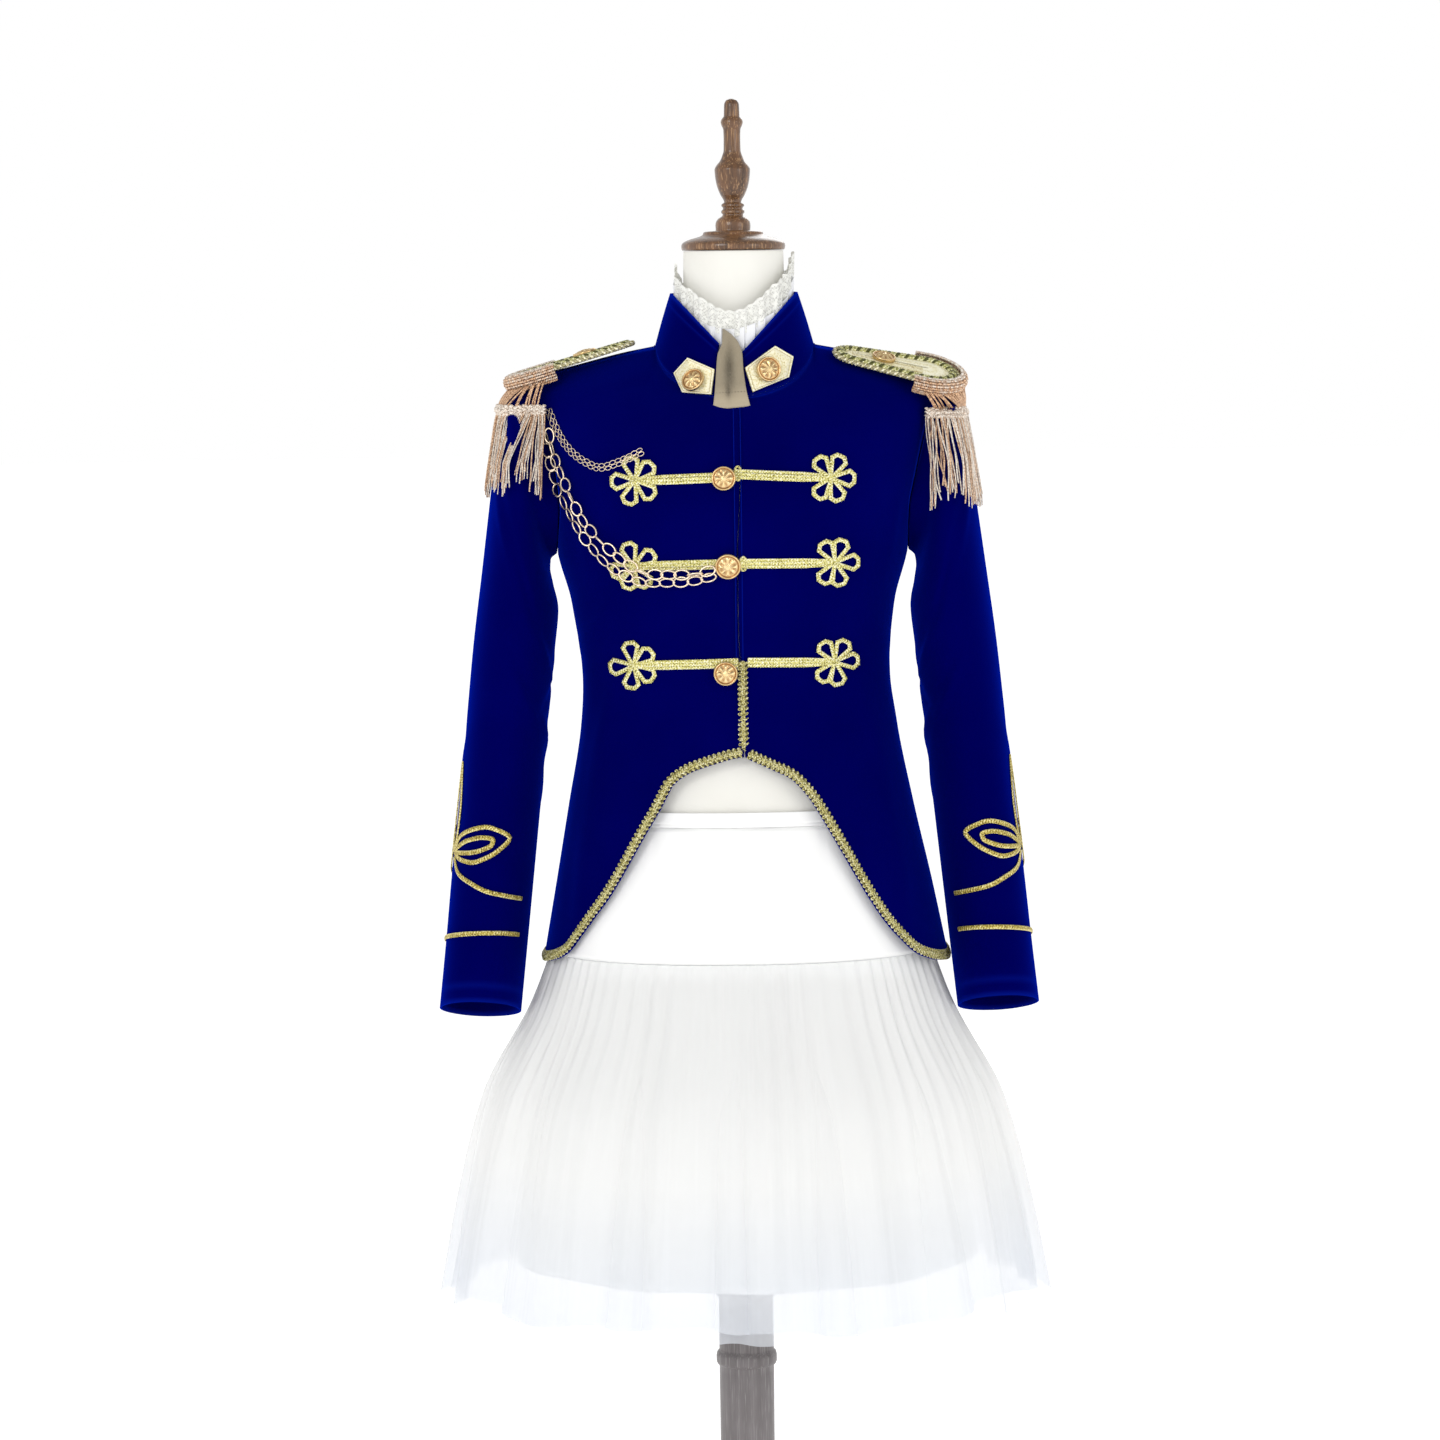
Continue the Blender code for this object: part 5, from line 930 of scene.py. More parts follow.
# Half an opening's outline, centre line of the tape: along and beside the petal, as shares of the reach
petalLine = np.array([(0.02, 0.03), (0.83, 0.33), (1.03, 0.17), (1.04, 0.0)])


def petalPath():
    # Eight points up one side, then the corners of the tip, and the same mirrored
    run = runOf(petalLine)
    at = np.concatenate([np.linspace(0, run[1], 8), [(run[1] + run[2]) / 2, *run[2:]]])
    half = readAlong(petalLine, at)
    return np.concatenate([half, half[-2:0:-1] * np.array([1, -1])]) * frog["reach"]


def laidOnFront(local, origin, heading, lift):
    # Plan points (along, beside) put on the front round an origin
    x = origin[0] + heading[0] * local[..., 0] - heading[1] * local[..., 1]
    z = origin[1] + heading[1] * local[..., 0] + heading[0] * local[..., 1]
    return onFront(x, z, lift)


for name, knotX, knotZ, endX, endZ, degreesRound in frogTable:
    heading = np.array([endX - knotX, endZ - knotZ])
    bar = np.linalg.norm(heading)
    heading = heading / bar
    petal = petalPath()
    turn = np.radians(degreesRound)[:, None]
    local = np.stack([petal[:, 0] * np.cos(turn) - petal[:, 1] * np.sin(turn),
                      petal[:, 0] * np.sin(turn) + petal[:, 1] * np.cos(turn)], axis=2)
    lifts = frog["lift"] + 0.00012 * np.arange(5)[:, None] + np.zeros(petal.shape[0])
    loops, out = laidOnFront(local, (knotX, knotZ), heading, lifts)
    chunks = [tapeChunk(loops, frog["width"], out, frog["flat"], True, True)]
    run = np.linspace(-0.004, bar - 0.0008, 70)
    fan = 0.0030 * smoothCurve([-0.01, 0.012, 0.030, 0.2], [0.45, 0.75, 1.0, 1.0], run)
    beside = np.stack([fan, 0 * fan, -fan])
    plan = np.stack([np.broadcast_to(run, beside.shape), beside], axis=2)
    lifts = frog["lift"] + np.array([0.0002, 0.0005, 0.0002])[:, None] + 0 * run
    rows, out = laidOnFront(plan, (knotX, knotZ), heading, lifts)
    chunks.append(tapeChunk(rows, frog["width"] * 0.78, out, frog["flat"]))
    addPiece(titled(name), chunks, frogBraid, "gold_braid", [name])

turn = np.linspace(0, 2 * math.pi, 28, endpoint=False)
loops = []
for x, z in ((0.0012, 1.2530), (0.0052, 1.1704)):
    loops.append(onFront(x + 0.0030 * np.cos(turn), z + 0.0062 * np.sin(turn), 0.0024 + 0 * turn)[0])
addPiece("ButtonLoops", [tubeChunk(np.array(loops), 0.0011, 7, (0, -1, 0), True)], frogBraid, "gold_braid")


# Gimp: two rows of round loops beside a plaited middle
gimp = {"width": 0.0104, "pitch": 0.0046, "loop": 0.0020, "wire": 0.00074, "perLoop": 10, "lift": 0.0012,
        "backing": 0.0040}


def ribbonFrame(points, tree, inward, lift):
    # Even points along an edge, laid on the skin, with the ways along, across and out of it
    level = unit(points * levelOnly)
    heading = unit(np.gradient(points, axis=0))
    across = unit(np.cross(heading, level))
    across = across * np.sign(across[:, 2:3] + 1e-9)
    middle = points + across * inward
    places, normals = castOn(tree, middle * np.array([0, 0, 1]) + unit(middle * levelOnly) * 0.6,
                             -unit(middle * levelOnly))
    padded = np.pad(normals, ((4, 4), (0, 0)), mode="edge")     # a running mean of nine
    normals = unit(np.stack([np.convolve(column, np.ones(9) / 9, "valid") for column in padded.T], axis=1))
    heading = unit(np.gradient(places, axis=0))
    return places + normals * lift, heading, unit(np.cross(normals, heading)), normals


def alongFrame(ribbon, at, beside, out):
    # Points off a ribbon: lengths along it, beside it and out of it
    places, _, across, normals = ribbon
    rows = readAlong(np.concatenate([places, across, normals], axis=1), at, runOf(places))
    return rows[..., :3] + unit(rows[..., 3:6]) * beside[..., None] + unit(rows[..., 6:9]) * out[..., None]


def gimpChunks(ribbon):
    # Each row is a curl: it goes on by a pitch a turn while it turns with the loop's radius
    length = runOf(ribbon[0])[-1]
    loops = max(3, int(length / gimp["pitch"]))
    phase = np.linspace(0, loops, loops * gimp["perLoop"] + 1)
    turn = 2 * math.pi * phase
    chunks = []
    offset = gimp["width"] / 2 - gimp["loop"] - gimp["wire"]
    for way, lag in ((1, 0.7), (-1, 0)):
        at = np.clip(phase * length / loops + gimp["loop"] * np.sin(turn + lag), 0, length)
        beside = way * (offset - gimp["loop"] * np.cos(turn))
        out = 0.00045 * np.sin(turn + 0.8)
        chunks.append(tubeChunk(alongFrame(ribbon, at, beside, out), gimp["wire"], 5, ribbon[3].mean(axis=0)))
    zig = np.linspace(0, loops * 2, loops * 8 + 1)
    for start in (0.0, 0.5):
        beside = 0.0016 * np.sin(2 * math.pi * (zig / 2 + start))
        out = 0.0006 + 0.0004 * np.cos(2 * math.pi * (zig + start))
        chunks.append(tubeChunk(alongFrame(ribbon, zig * length / loops / 2, beside, out), gimp["wire"], 5,
                                ribbon[3].mean(axis=0)))
    # A flat backing under them all, painted dark by tone as the shade between the loops
    at = np.linspace(0.0005, length - 0.0005, max(8, int(length / 0.006)))
    flat = alongFrame(ribbon, at, 0 * at, 0 * at - 0.0006)
    normals = alongFrame(ribbon, at, 0 * at, 0 * at + 1.0) - alongFrame(ribbon, at, 0 * at, 0 * at)
    chunks.append(tubeChunk(flat, gimp["backing"], 8, normals, False, 0.12))
    dark = np.repeat([0.0] * (len(chunks) - 1) + [0.9], [len(points) for points, _ in chunks])
    return chunks, dark


for name, skin in (("left", "jacket_front_left"), ("right", "jacket_front_right"), ("back", "jacket_back")):
    edge = skins[skin][0]
    if name != "back":
        edge = np.concatenate([edge[:1] + (edge[1:2] - edge[:1]) * 0.05, edge[1:]])
    points = readAlong(edge, np.linspace(0.0008, runOf(edge)[-1] - 0.0012, 180))
    ribbon = ribbonFrame(points, skinTree([skin]), gimp["width"] / 2 - 0.0006, gimp["lift"])
    chunks, dark = gimpChunks(ribbon)
    addPiece("HemBraid" + name.title(), chunks, gimpBraid, "gold_braid", ["hem_braid_" + name], tone=dark)
z = np.linspace(1.0785, 0.9945, 60)
places, normals = onFront(np.full(60, 0.0036), z, 0 * z)
normals = np.broadcast_to(unit(normals.mean(axis=0)), normals.shape)
depth = smoothCurve(z[::12], places[::12, 1], z)
places = np.stack([places[:, 0], depth, z], axis=1) + normals * gimp["lift"]
heading = unit(np.gradient(places, axis=0))
chunks, dark = gimpChunks((places, heading, unit(np.cross(normals, heading)), normals))
addPiece("FrontBraid", chunks, gimpBraid, "gold_braid", ["front_braid"], tone=dark)

# The closing: a turned edge and a line of stitching, at the depth of firm cloth beside the opening; tone
# paints both a lighter blue as sheen
z = np.linspace(1.0700, 1.3140, 90)
lines = []
for x, firm in ((-0.0022, -0.0100), (0.0040, 0.0120)):
    places, _ = onFront(firm + 0 * z, z, 0.0003 + 0 * z)
    lines.append(np.stack([x + 0 * z, places[:, 1], z], axis=1))
chunk = tubeChunk(np.array(lines), 0.00045, 6, (0, -1, 0))
addPiece("ClosingLines", [chunk], velvet, "velvet", tone=np.full(len(chunk[0]), 0.55))
print("frogs and hem braids made")


# Buttons: a raised rim round a domed rosette, on a polar grid
button = {"rings": 26, "sides": 72, "petals": 8, "relief": 0.00085, "spin": 0.2}
buttonProfile = np.array([
    (0.00, 0.0046), (0.30, 0.0043), (0.60, 0.0035), (0.78, 0.0027), (0.84, 0.0030), (0.90, 0.0037),
    (0.95, 0.0036), (1.00, 0.0026), (1.00, 0.0012), (0.93, 0.0000),
])


def buttonChunk(place, normal, radius):
    # Height = profile + petals of a rosette, cos(petals x turn), inside the rim
    run = np.arange(len(buttonProfile))
    rows = smoothCurve(run, buttonProfile, np.linspace(0.12, run[-1], button["rings"]))
    turn = np.arange(button["sides"]) * 2 * math.pi / button["sides"] + button["spin"]
    share = rows[:, :1]
    petals = np.cos(button["petals"] * turn) * bump(share, 0.52, 0.17) + 0.9 * bump(share, 0.10, 0.10)
    petals = petals + 0.5 * np.cos(button["petals"] * 2 * turn) * bump(share, 0.28, 0.07)
    height = rows[:, 1:] + button["relief"] * petals * (share < 0.80)
    grid = np.stack([radius * share * np.cos(turn), radius * share * np.sin(turn), height], axis=2)
    tips = [(0, 0, buttonProfile[0, 1] + button["relief"]), (0, 0, 0.0)]
    points, groups = cappedChunk(grid, np.linspace(0, 1, button["sides"] + 1), runOf(rows), tips)
    right = unit(np.cross((0, 0, 1.0), normal))
    turned = points[:, :1] * right + points[:, 1:2] * np.cross(normal, right) + points[:, 2:] * normal
    # Painted shade by tone: dark in the groove inside the rim and between the rosette's petals
    groove = (share > 0.74) & (share < 0.86)
    hollow = np.where(groove, 0.9, 0.40 - 0.42 * petals).clip(0, 1)
    return (turned + place, groups), np.append(hollow, (0, 0))


def addButton(name, place, normal, radius):
    chunk, hollow = buttonChunk(np.asarray(place, float), unit(np.asarray(normal, float)), radius)
    addPiece(titled(name), [chunk], buttonMetal, "button_gold", [name], tone=hollow)


buttonTable = [
    ("button_top", (-0.0119, -0.1246, 1.2486), (-0.0296, -0.9874, 0.1552), 0.0112),
    ("button_middle", (-0.0089, -0.1232, 1.1683), (-0.0276, -0.9724, -0.2318), 0.0120),
    ("button_bottom", (-0.0121, -0.1006, 1.0673), (-0.0399, -0.9988, 0.0280), 0.0112),
]
for name, place, normal, radius in buttonTable:
    addButton(name, place, normal, radius)

# Collar tabs: pale satin pentagons with a stitched line inside the edge
tabPlate = {"lift": 0.0028, "height": 0.0014, "dome": 0.0016, "around": 96}
tabOutlines = {
    "collar_tab_left": [(-0.0560, -0.0491, 1.3440), (-0.0425, -0.0591, 1.3585), (-0.0175, -0.0713, 1.3475),
                        (-0.0205, -0.0739, 1.3240), (-0.0480, -0.0677, 1.3262)],
    "collar_tab_right": [(0.0078, -0.0715, 1.3490), (0.0362, -0.0603, 1.3690), (0.0535, -0.0502, 1.3585),
                         (0.0490, -0.0565, 1.3395), (0.0145, -0.0740, 1.3262)],
}
# From the edge to the middle: share of the outline, rise over the lift, darkness; the dark stitched line is
# thread, the darker rolled edge is painted shade
tabShares = np.array([0.97, 1.0, 0.985, 0.955, 0.90, 0.885, 0.87, 0.6, 0.3, 0.02])
tabRises = np.array([0.0, 0.45, 0.85, 1.0, 1.0, 0.72, 1.0, 1.15, 1.2, 1.2])
tabShades = np.array([0.7, 0.35, 0.1, 0.0, 0.15, 0.85, 0.15, 0.12, 0.05, 0.0])
for name, corners in tabOutlines.items():
    outline = np.array(corners + corners[:1])
    line = readAlong(outline, np.linspace(0, runOf(outline)[-1], tabPlate["around"], endpoint=False))
    middle = line.mean(axis=0)
    out = unit(np.cross(line - middle, np.roll(line, -6, 0) - middle).sum(axis=0))
    out = out if out[1] < 0 else -out
    domed = tabPlate["lift"] + tabRises * tabPlate["height"] + tabPlate["dome"] * (1 - tabShares ** 2)
    grid = middle + (line - middle) * tabShares[:, None, None] + out * domed[:, None, None]
    us, vs = np.linspace(0, 0.1, len(line) + 1), np.linspace(0, 0.02, len(grid))
    chunk = cappedChunk(grid, us, vs, [grid[0].mean(axis=0), grid[-1].mean(axis=0)])
    tone = np.append(np.repeat(tabShades, len(line)), (0.5, 0.0))
    addPiece(titled(name), [chunk], paleSatin, "pale_gold", [name], sharp=50, tone=tone)
addButton("collar_button_left", (-0.0385, -0.0722, 1.3380), (-0.4295, -0.7798, 0.4555), 0.0112)
addButton("collar_button_right", (0.0307, -0.0715, 1.3476), (0.3599, -0.9262, 0.1122), 0.0118)
print("buttons and collar tabs made")

# Sleeve knots, drawn on the unrolled sleeve: arc from the middle line and height over the knot
knot = {"middle": -72.0, "z": 0.8920, "radius": 0.0445, "braid": 0.0023, "lift": 0.0012, "cuff": 0.8135,
        "flat": 0.32}
knotLines = [
    np.array([(0.004, 0.005), (0.010, 0.018), (0.0215, 0.0257), (0.0451, 0.0320), (0.0589, 0.0288),
              (0.0718, 0.0211), (0.0631, 0.0116), (0.0489, 0.0031), (0.0331, -0.0016), (0.0163, 0.0003),
              (0.004, 0.005)]),
    np.array([(0.004, 0.007), (0.0263, 0.0186), (0.0437, 0.0222), (0.0547, 0.0201), (0.0537, 0.0155),
              (0.0465, 0.0115), (0.0324, 0.0076), (0.004, 0.005)]),
    np.array([(0.000, 0.006), (0.006, 0.022), (0.007, 0.045), (0.004, 0.070), (0.000, 0.090)]),
    np.array([(0.0045, 0.0004), (0.0151, -0.0121), (0.0359, -0.0213), (0.0527, -0.0281), (0.0711, -0.0324),
              (0.0947, -0.0375)]),
]
sleeveTrees = {side: skinTree(["sleeve_" + side]) for side in ("left", "right")}


def onSleeve(name, side, arc, height, lift):
    # Level rays towards the sleeve's axis, at the angle that the arc stands for
    z = knot["z"] + height
    rows = smoothCurve(sleeveTable[3:, 1], sleeveTable[3:], z)
    half = (rows[..., 2] - rows[..., 0]) / 2
    axis = np.stack([side * (rows[..., 0] + rows[..., 2]) / 2 + sleeve["sway"], rows[..., 4], z], axis=-1)
    angle = math.radians(knot["middle"]) + arc / knot["radius"]
    way = np.stack([-side * np.sin(angle) * half, -np.cos(angle) * rows[..., 5], 0 * z], axis=-1)
    places, normals = castOn(sleeveTrees[name], axis + unit(way) * 0.3, -unit(way))
    return places + normals * lift, normals


for name, side in (("left", -1), ("right", 1)):
    chunks = []
    for line in knotLines:
        curve = evenly(line, 90)
        for way in (1, -1):
            path, out = onSleeve(name, side, way * curve[:, 0], curve[:, 1], knot["lift"])
            chunks.append(tapeChunk(path, knot["braid"], out, knot["flat"]))
    addPiece("SleeveKnot" + name.title(), chunks, sleeveBraid, "gold_braid", ["sleeve_knot_" + name])
    around = np.radians(np.linspace(51, -195, 120))
    arc = (around - math.radians(knot["middle"])) * knot["radius"]
    path, out = onSleeve(name, side, arc, knot["cuff"] + 0.0115 * np.cos(around) - knot["z"], knot["lift"])
    chunks = [tapeChunk(path, knot["braid"], out, knot["flat"])]
    addPiece("CuffLine" + name.title(), chunks, sleeveBraid, "gold_braid", ["cuff_line_" + name])

# Chains over the viewer's left front: oval links, turned one way and the other
chain = {"links": 19, "long": 0.0071, "wide": 0.0045, "wire": 0.00086, "twist": 20, "perLink": 28}
# Each chain's way over the front by x and z
fineRoute = np.array([
    (-0.1742, 1.3125), (-0.1668, 1.2955), (-0.1581, 1.2805), (-0.1438, 1.2670), (-0.1249, 1.2590),
    (-0.1070, 1.2640), (-0.0854, 1.2740),
])
upperRoute = np.array([
    (-0.1720, 1.2940), (-0.1672, 1.2715), (-0.1556, 1.2421), (-0.1405, 1.2101), (-0.1201, 1.1885),
    (-0.1003, 1.1722), (-0.0784, 1.1624), (-0.0441, 1.1618), (-0.0215, 1.1665),
])
lowerRoute = np.array([
    (-0.1820, 1.2920), (-0.1732, 1.2566), (-0.1620, 1.2314), (-0.1440, 1.1996), (-0.1282, 1.1797),
    (-0.1048, 1.1617), (-0.0804, 1.1539), (-0.0460, 1.1552), (-0.0205, 1.1600),
])


def chainLinks(route, links, size, base, twist, aside=0.0):
    # Ovals a pitch apart along the route, laid on the front and leant about their own length
    line = evenly(route, 12 * links + 1)
    heading = unit(np.gradient(line, axis=0))
    line = line + np.stack([-heading[:, 1], heading[:, 0]], axis=1) * aside
    lift = base + 0.0021 * np.clip((line[:, 0] + 0.132) / 0.008, 0, 1)
    places, normals = onFront(line[:, 0], line[:, 1], lift)
    middle, out = places[6::12], normals[6::12]
    along = unit((places[11::12][:len(middle)] - places[1::12][:len(middle)]))
    beside = unit(np.cross(out, along))
    lean = np.radians(twist)[:, None]
    across = beside * np.cos(lean) + out * np.sin(lean)
    turn = np.linspace(0, 2 * math.pi, chain["perLink"], endpoint=False)[:, None]
    oval = size[0] * np.cos(turn) * along[:, None] + size[1] * np.sin(turn) * across[:, None]
    return middle[:, None] + oval, np.cross(along, across)[:, None]


for name, route, base in (("upper", upperRoute, 0.0052), ("lower", lowerRoute, 0.0034)):
    odd = np.where(np.arange(chain["links"]) % 2, 1.0, -1.0)
    turned = (np.arange(chain["links"]) + (name == "upper")) % 4 == 2
    twist = odd * chain["twist"] + 46 * turned
    paths, up = chainLinks(route, chain["links"], (chain["long"], chain["wide"]), base, twist)
    chunk = tubeChunk(paths, chain["wire"], 8, np.broadcast_to(up, paths.shape), True)
    addPiece("Chain" + name.title(), [chunk], chainMetal, "chain_gold", ["chain_" + name])
fine = {"links": 22, "long": 0.0030, "wide": 0.00175, "wire": 0.00040, "apart": 0.0018, "lift": 0.0018}
chunks = []
for k, way in enumerate((-1, 1)):
    twist = np.where((np.arange(fine["links"]) + k) % 2, 12.0, -12.0)
    size = fine["long"], fine["wide"]
    paths, up = chainLinks(fineRoute, fine["links"], size, fine["lift"], twist, way * fine["apart"])
    paths = paths[:, ::2]
    chunks.append(tubeChunk(paths, fine["wire"], 5, np.broadcast_to(up, paths.shape), True))
addPiece("FineChain", chunks, chainMetal, "chain_gold", ["fine_chain"])
print("sleeve knots and chains made")

# Epaulettes: boards in their own planes, with the edge lines as distances in from the outline
board = {"length": 0.1220, "inner": 0.0215, "outer": 0.0325, "raise": 0.0006, "crescentFrom": 0.0780,
         "braidPoints": 420, "ropePoints": 560, "beadPoints": 336}
# Side, the middle of the inner end, that of the outer end, and the way across
boardTable = {
    "left": (-1, (-0.0935, 0.0, 1.3715), (-0.2145, 0.0, 1.3360), (-0.0106, 0.9994, 0.0333)),
    "right": (1, (0.0918, -0.020, 1.3612), (0.2140, -0.018, 1.3346), (0.0848, 0.9455, 0.3143)),
}
boards = {}
for which, (side, start, end, across) in boardTable.items():
    along = unit(np.array(end) - np.array(start))
    rise = unit(np.cross(along, across)) * side
    boards[which] = (side, np.array(start), along, unit(np.cross(rise, along)) * side, rise)


def boardLine(inset, count):
    # Two arcs and two tangents, evenly spaced; the outer end is the wider
    radii = board["inner"] - inset, board["outer"] - inset
    centres = board["inner"], board["length"] - board["outer"]
    lean = math.asin((radii[1] - radii[0]) / (centres[1] - centres[0]))
    arcs = []
    for end, first, last in ((1, -math.pi / 2 - lean, math.pi / 2 + lean),
                             (0, math.pi / 2 + lean, 1.5 * math.pi - lean)):
        turn = np.linspace(first, last, 60)
        arcs.append(np.stack([centres[end] + radii[end] * np.cos(turn), radii[end] * np.sin(turn)], axis=1))
    ring = np.concatenate([*arcs, arcs[0][:1]])
    length = runOf(ring)[-1]
    return readAlong(ring, np.linspace(0, length, count, endpoint=False)), length


def crescentLine(outset, count):
    # The outer end's line, from one straight side round to the other
    ring, _ = boardLine(-outset, 720)
    ring = np.roll(ring, -int(np.argmin(ring[:, 0])), axis=0)
    kept = ring[ring[:, 0] > board["crescentFrom"]]
    return readAlong(kept, np.linspace(0, runOf(kept)[-1], count))


def sidesteps(line):
    # Level ways out of a closed plan line, to the right of its heading
    heading = unit(np.roll(line, -1, 0) - np.roll(line, 1, 0))
    return np.stack([heading[:, 1], -heading[:, 0]], axis=1)


def onBoard(which, plan, height):
    # From a board's own length, width and height to its place on the shoulder
    _, start, along, across, rise = [np.array(v, float) for v in boards[which]]
    height = np.asarray(height)[..., None] + board["raise"]
    return start + plan[..., :1] * along + plan[..., 1:2] * across + height * rise


def twisted(which, line, strands, radius, offset, pitch, length, height, flatten=1.0):
    # Strands that wind round a closed line: phase goes on by a turn a pitch
    turns = max(1, round(length / pitch))
    phase = np.arange(len(line)) / len(line) * turns * 2 * math.pi
    aside = sidesteps(line)
    paths = []
    for k in range(strands):
        angle = phase + 2 * math.pi * k / strands
        plan = line + aside * (offset * np.cos(angle))[:, None]
        paths.append(onBoard(which, plan, height + offset * flatten * np.sin(angle)))
    return tubeChunk(np.array(paths), radius, 6, np.array(boards[which][4]), True)


fringe = {"strands": 210, "spread": 83, "radius": 0.00060, "top": 1.3060, "bottom": 1.2260, "rows": 16,
          "axis": 0.172, "threads": 46, "headings": 300}
fringeAngles = np.array([-82, -60, -40, -20, 0, 20, 40, 60, 82.0])
fringeHeights = np.array([1.226, 1.263, 1.300, 1.308])
fringeSkins = {
    "left": np.array([
        (0.0525, 0.0717, 0.0672, 0.0615, 0.0603, 0.0611, 0.0663, 0.0709, 0.0464),
        (0.0463, 0.0660, 0.0624, 0.0565, 0.0555, 0.0563, 0.0620, 0.0666, 0.0411),
        (0.0359, 0.0383, 0.0554, 0.0505, 0.0503, 0.0506, 0.0557, 0.0445, 0.0337),
        (0.0361, 0.0308, 0.0537, 0.0487, 0.0485, 0.0488, 0.0538, 0.0349, 0.0345)]),
    "right": np.array([
        (0.0548, 0.0689, 0.0612, 0.0548, 0.0537, 0.0544, 0.0602, 0.0677, 0.0527),
        (0.0484, 0.0647, 0.0559, 0.0494, 0.0485, 0.0492, 0.0555, 0.0647, 0.0439),
        (0.0359, 0.0517, 0.0491, 0.0430, 0.0429, 0.0431, 0.0491, 0.0529, 0.0342),
        (0.0361, 0.0320, 0.0468, 0.0410, 0.0410, 0.0412, 0.0469, 0.0394, 0.0353)]),
}


def fringePoint(which, angle, z, extra):
    # Level ray from the shoulder's axis: the skin's radius by angle and height, and the lift over it
    side = boards[which][0]
    byAngle = smoothCurve(fringeAngles, fringeSkins[which].T, np.clip(angle, -82, 82))
    byAngle = np.moveaxis(byAngle, -1, 0)
    z = np.broadcast_to(z, np.shape(angle))
    index = np.clip(np.searchsorted(fringeHeights, z) - 1, 0, 2)
    t = np.clip((z - fringeHeights[index]) / (fringeHeights[index + 1] - fringeHeights[index]), 0, 1)
    low = np.take_along_axis(byAngle, index[None], 0)[0]
    high = np.take_along_axis(byAngle, index[None] + 1, 0)[0]
    radius = low * (1 - t) + high * t
    # Further out at the front and a little at the back
    spread = 0.0085 * np.clip((-angle - 35) / 25, 0, 1) + 0.0015 * np.clip((angle - 55) / 25, 0, 1)
    reach = radius + 0.0012 + spread + extra
    turn = np.radians(angle)
    return np.stack([side * (fringe["axis"] + np.cos(turn) * reach), np.sin(turn) * reach, z], axis=-1)


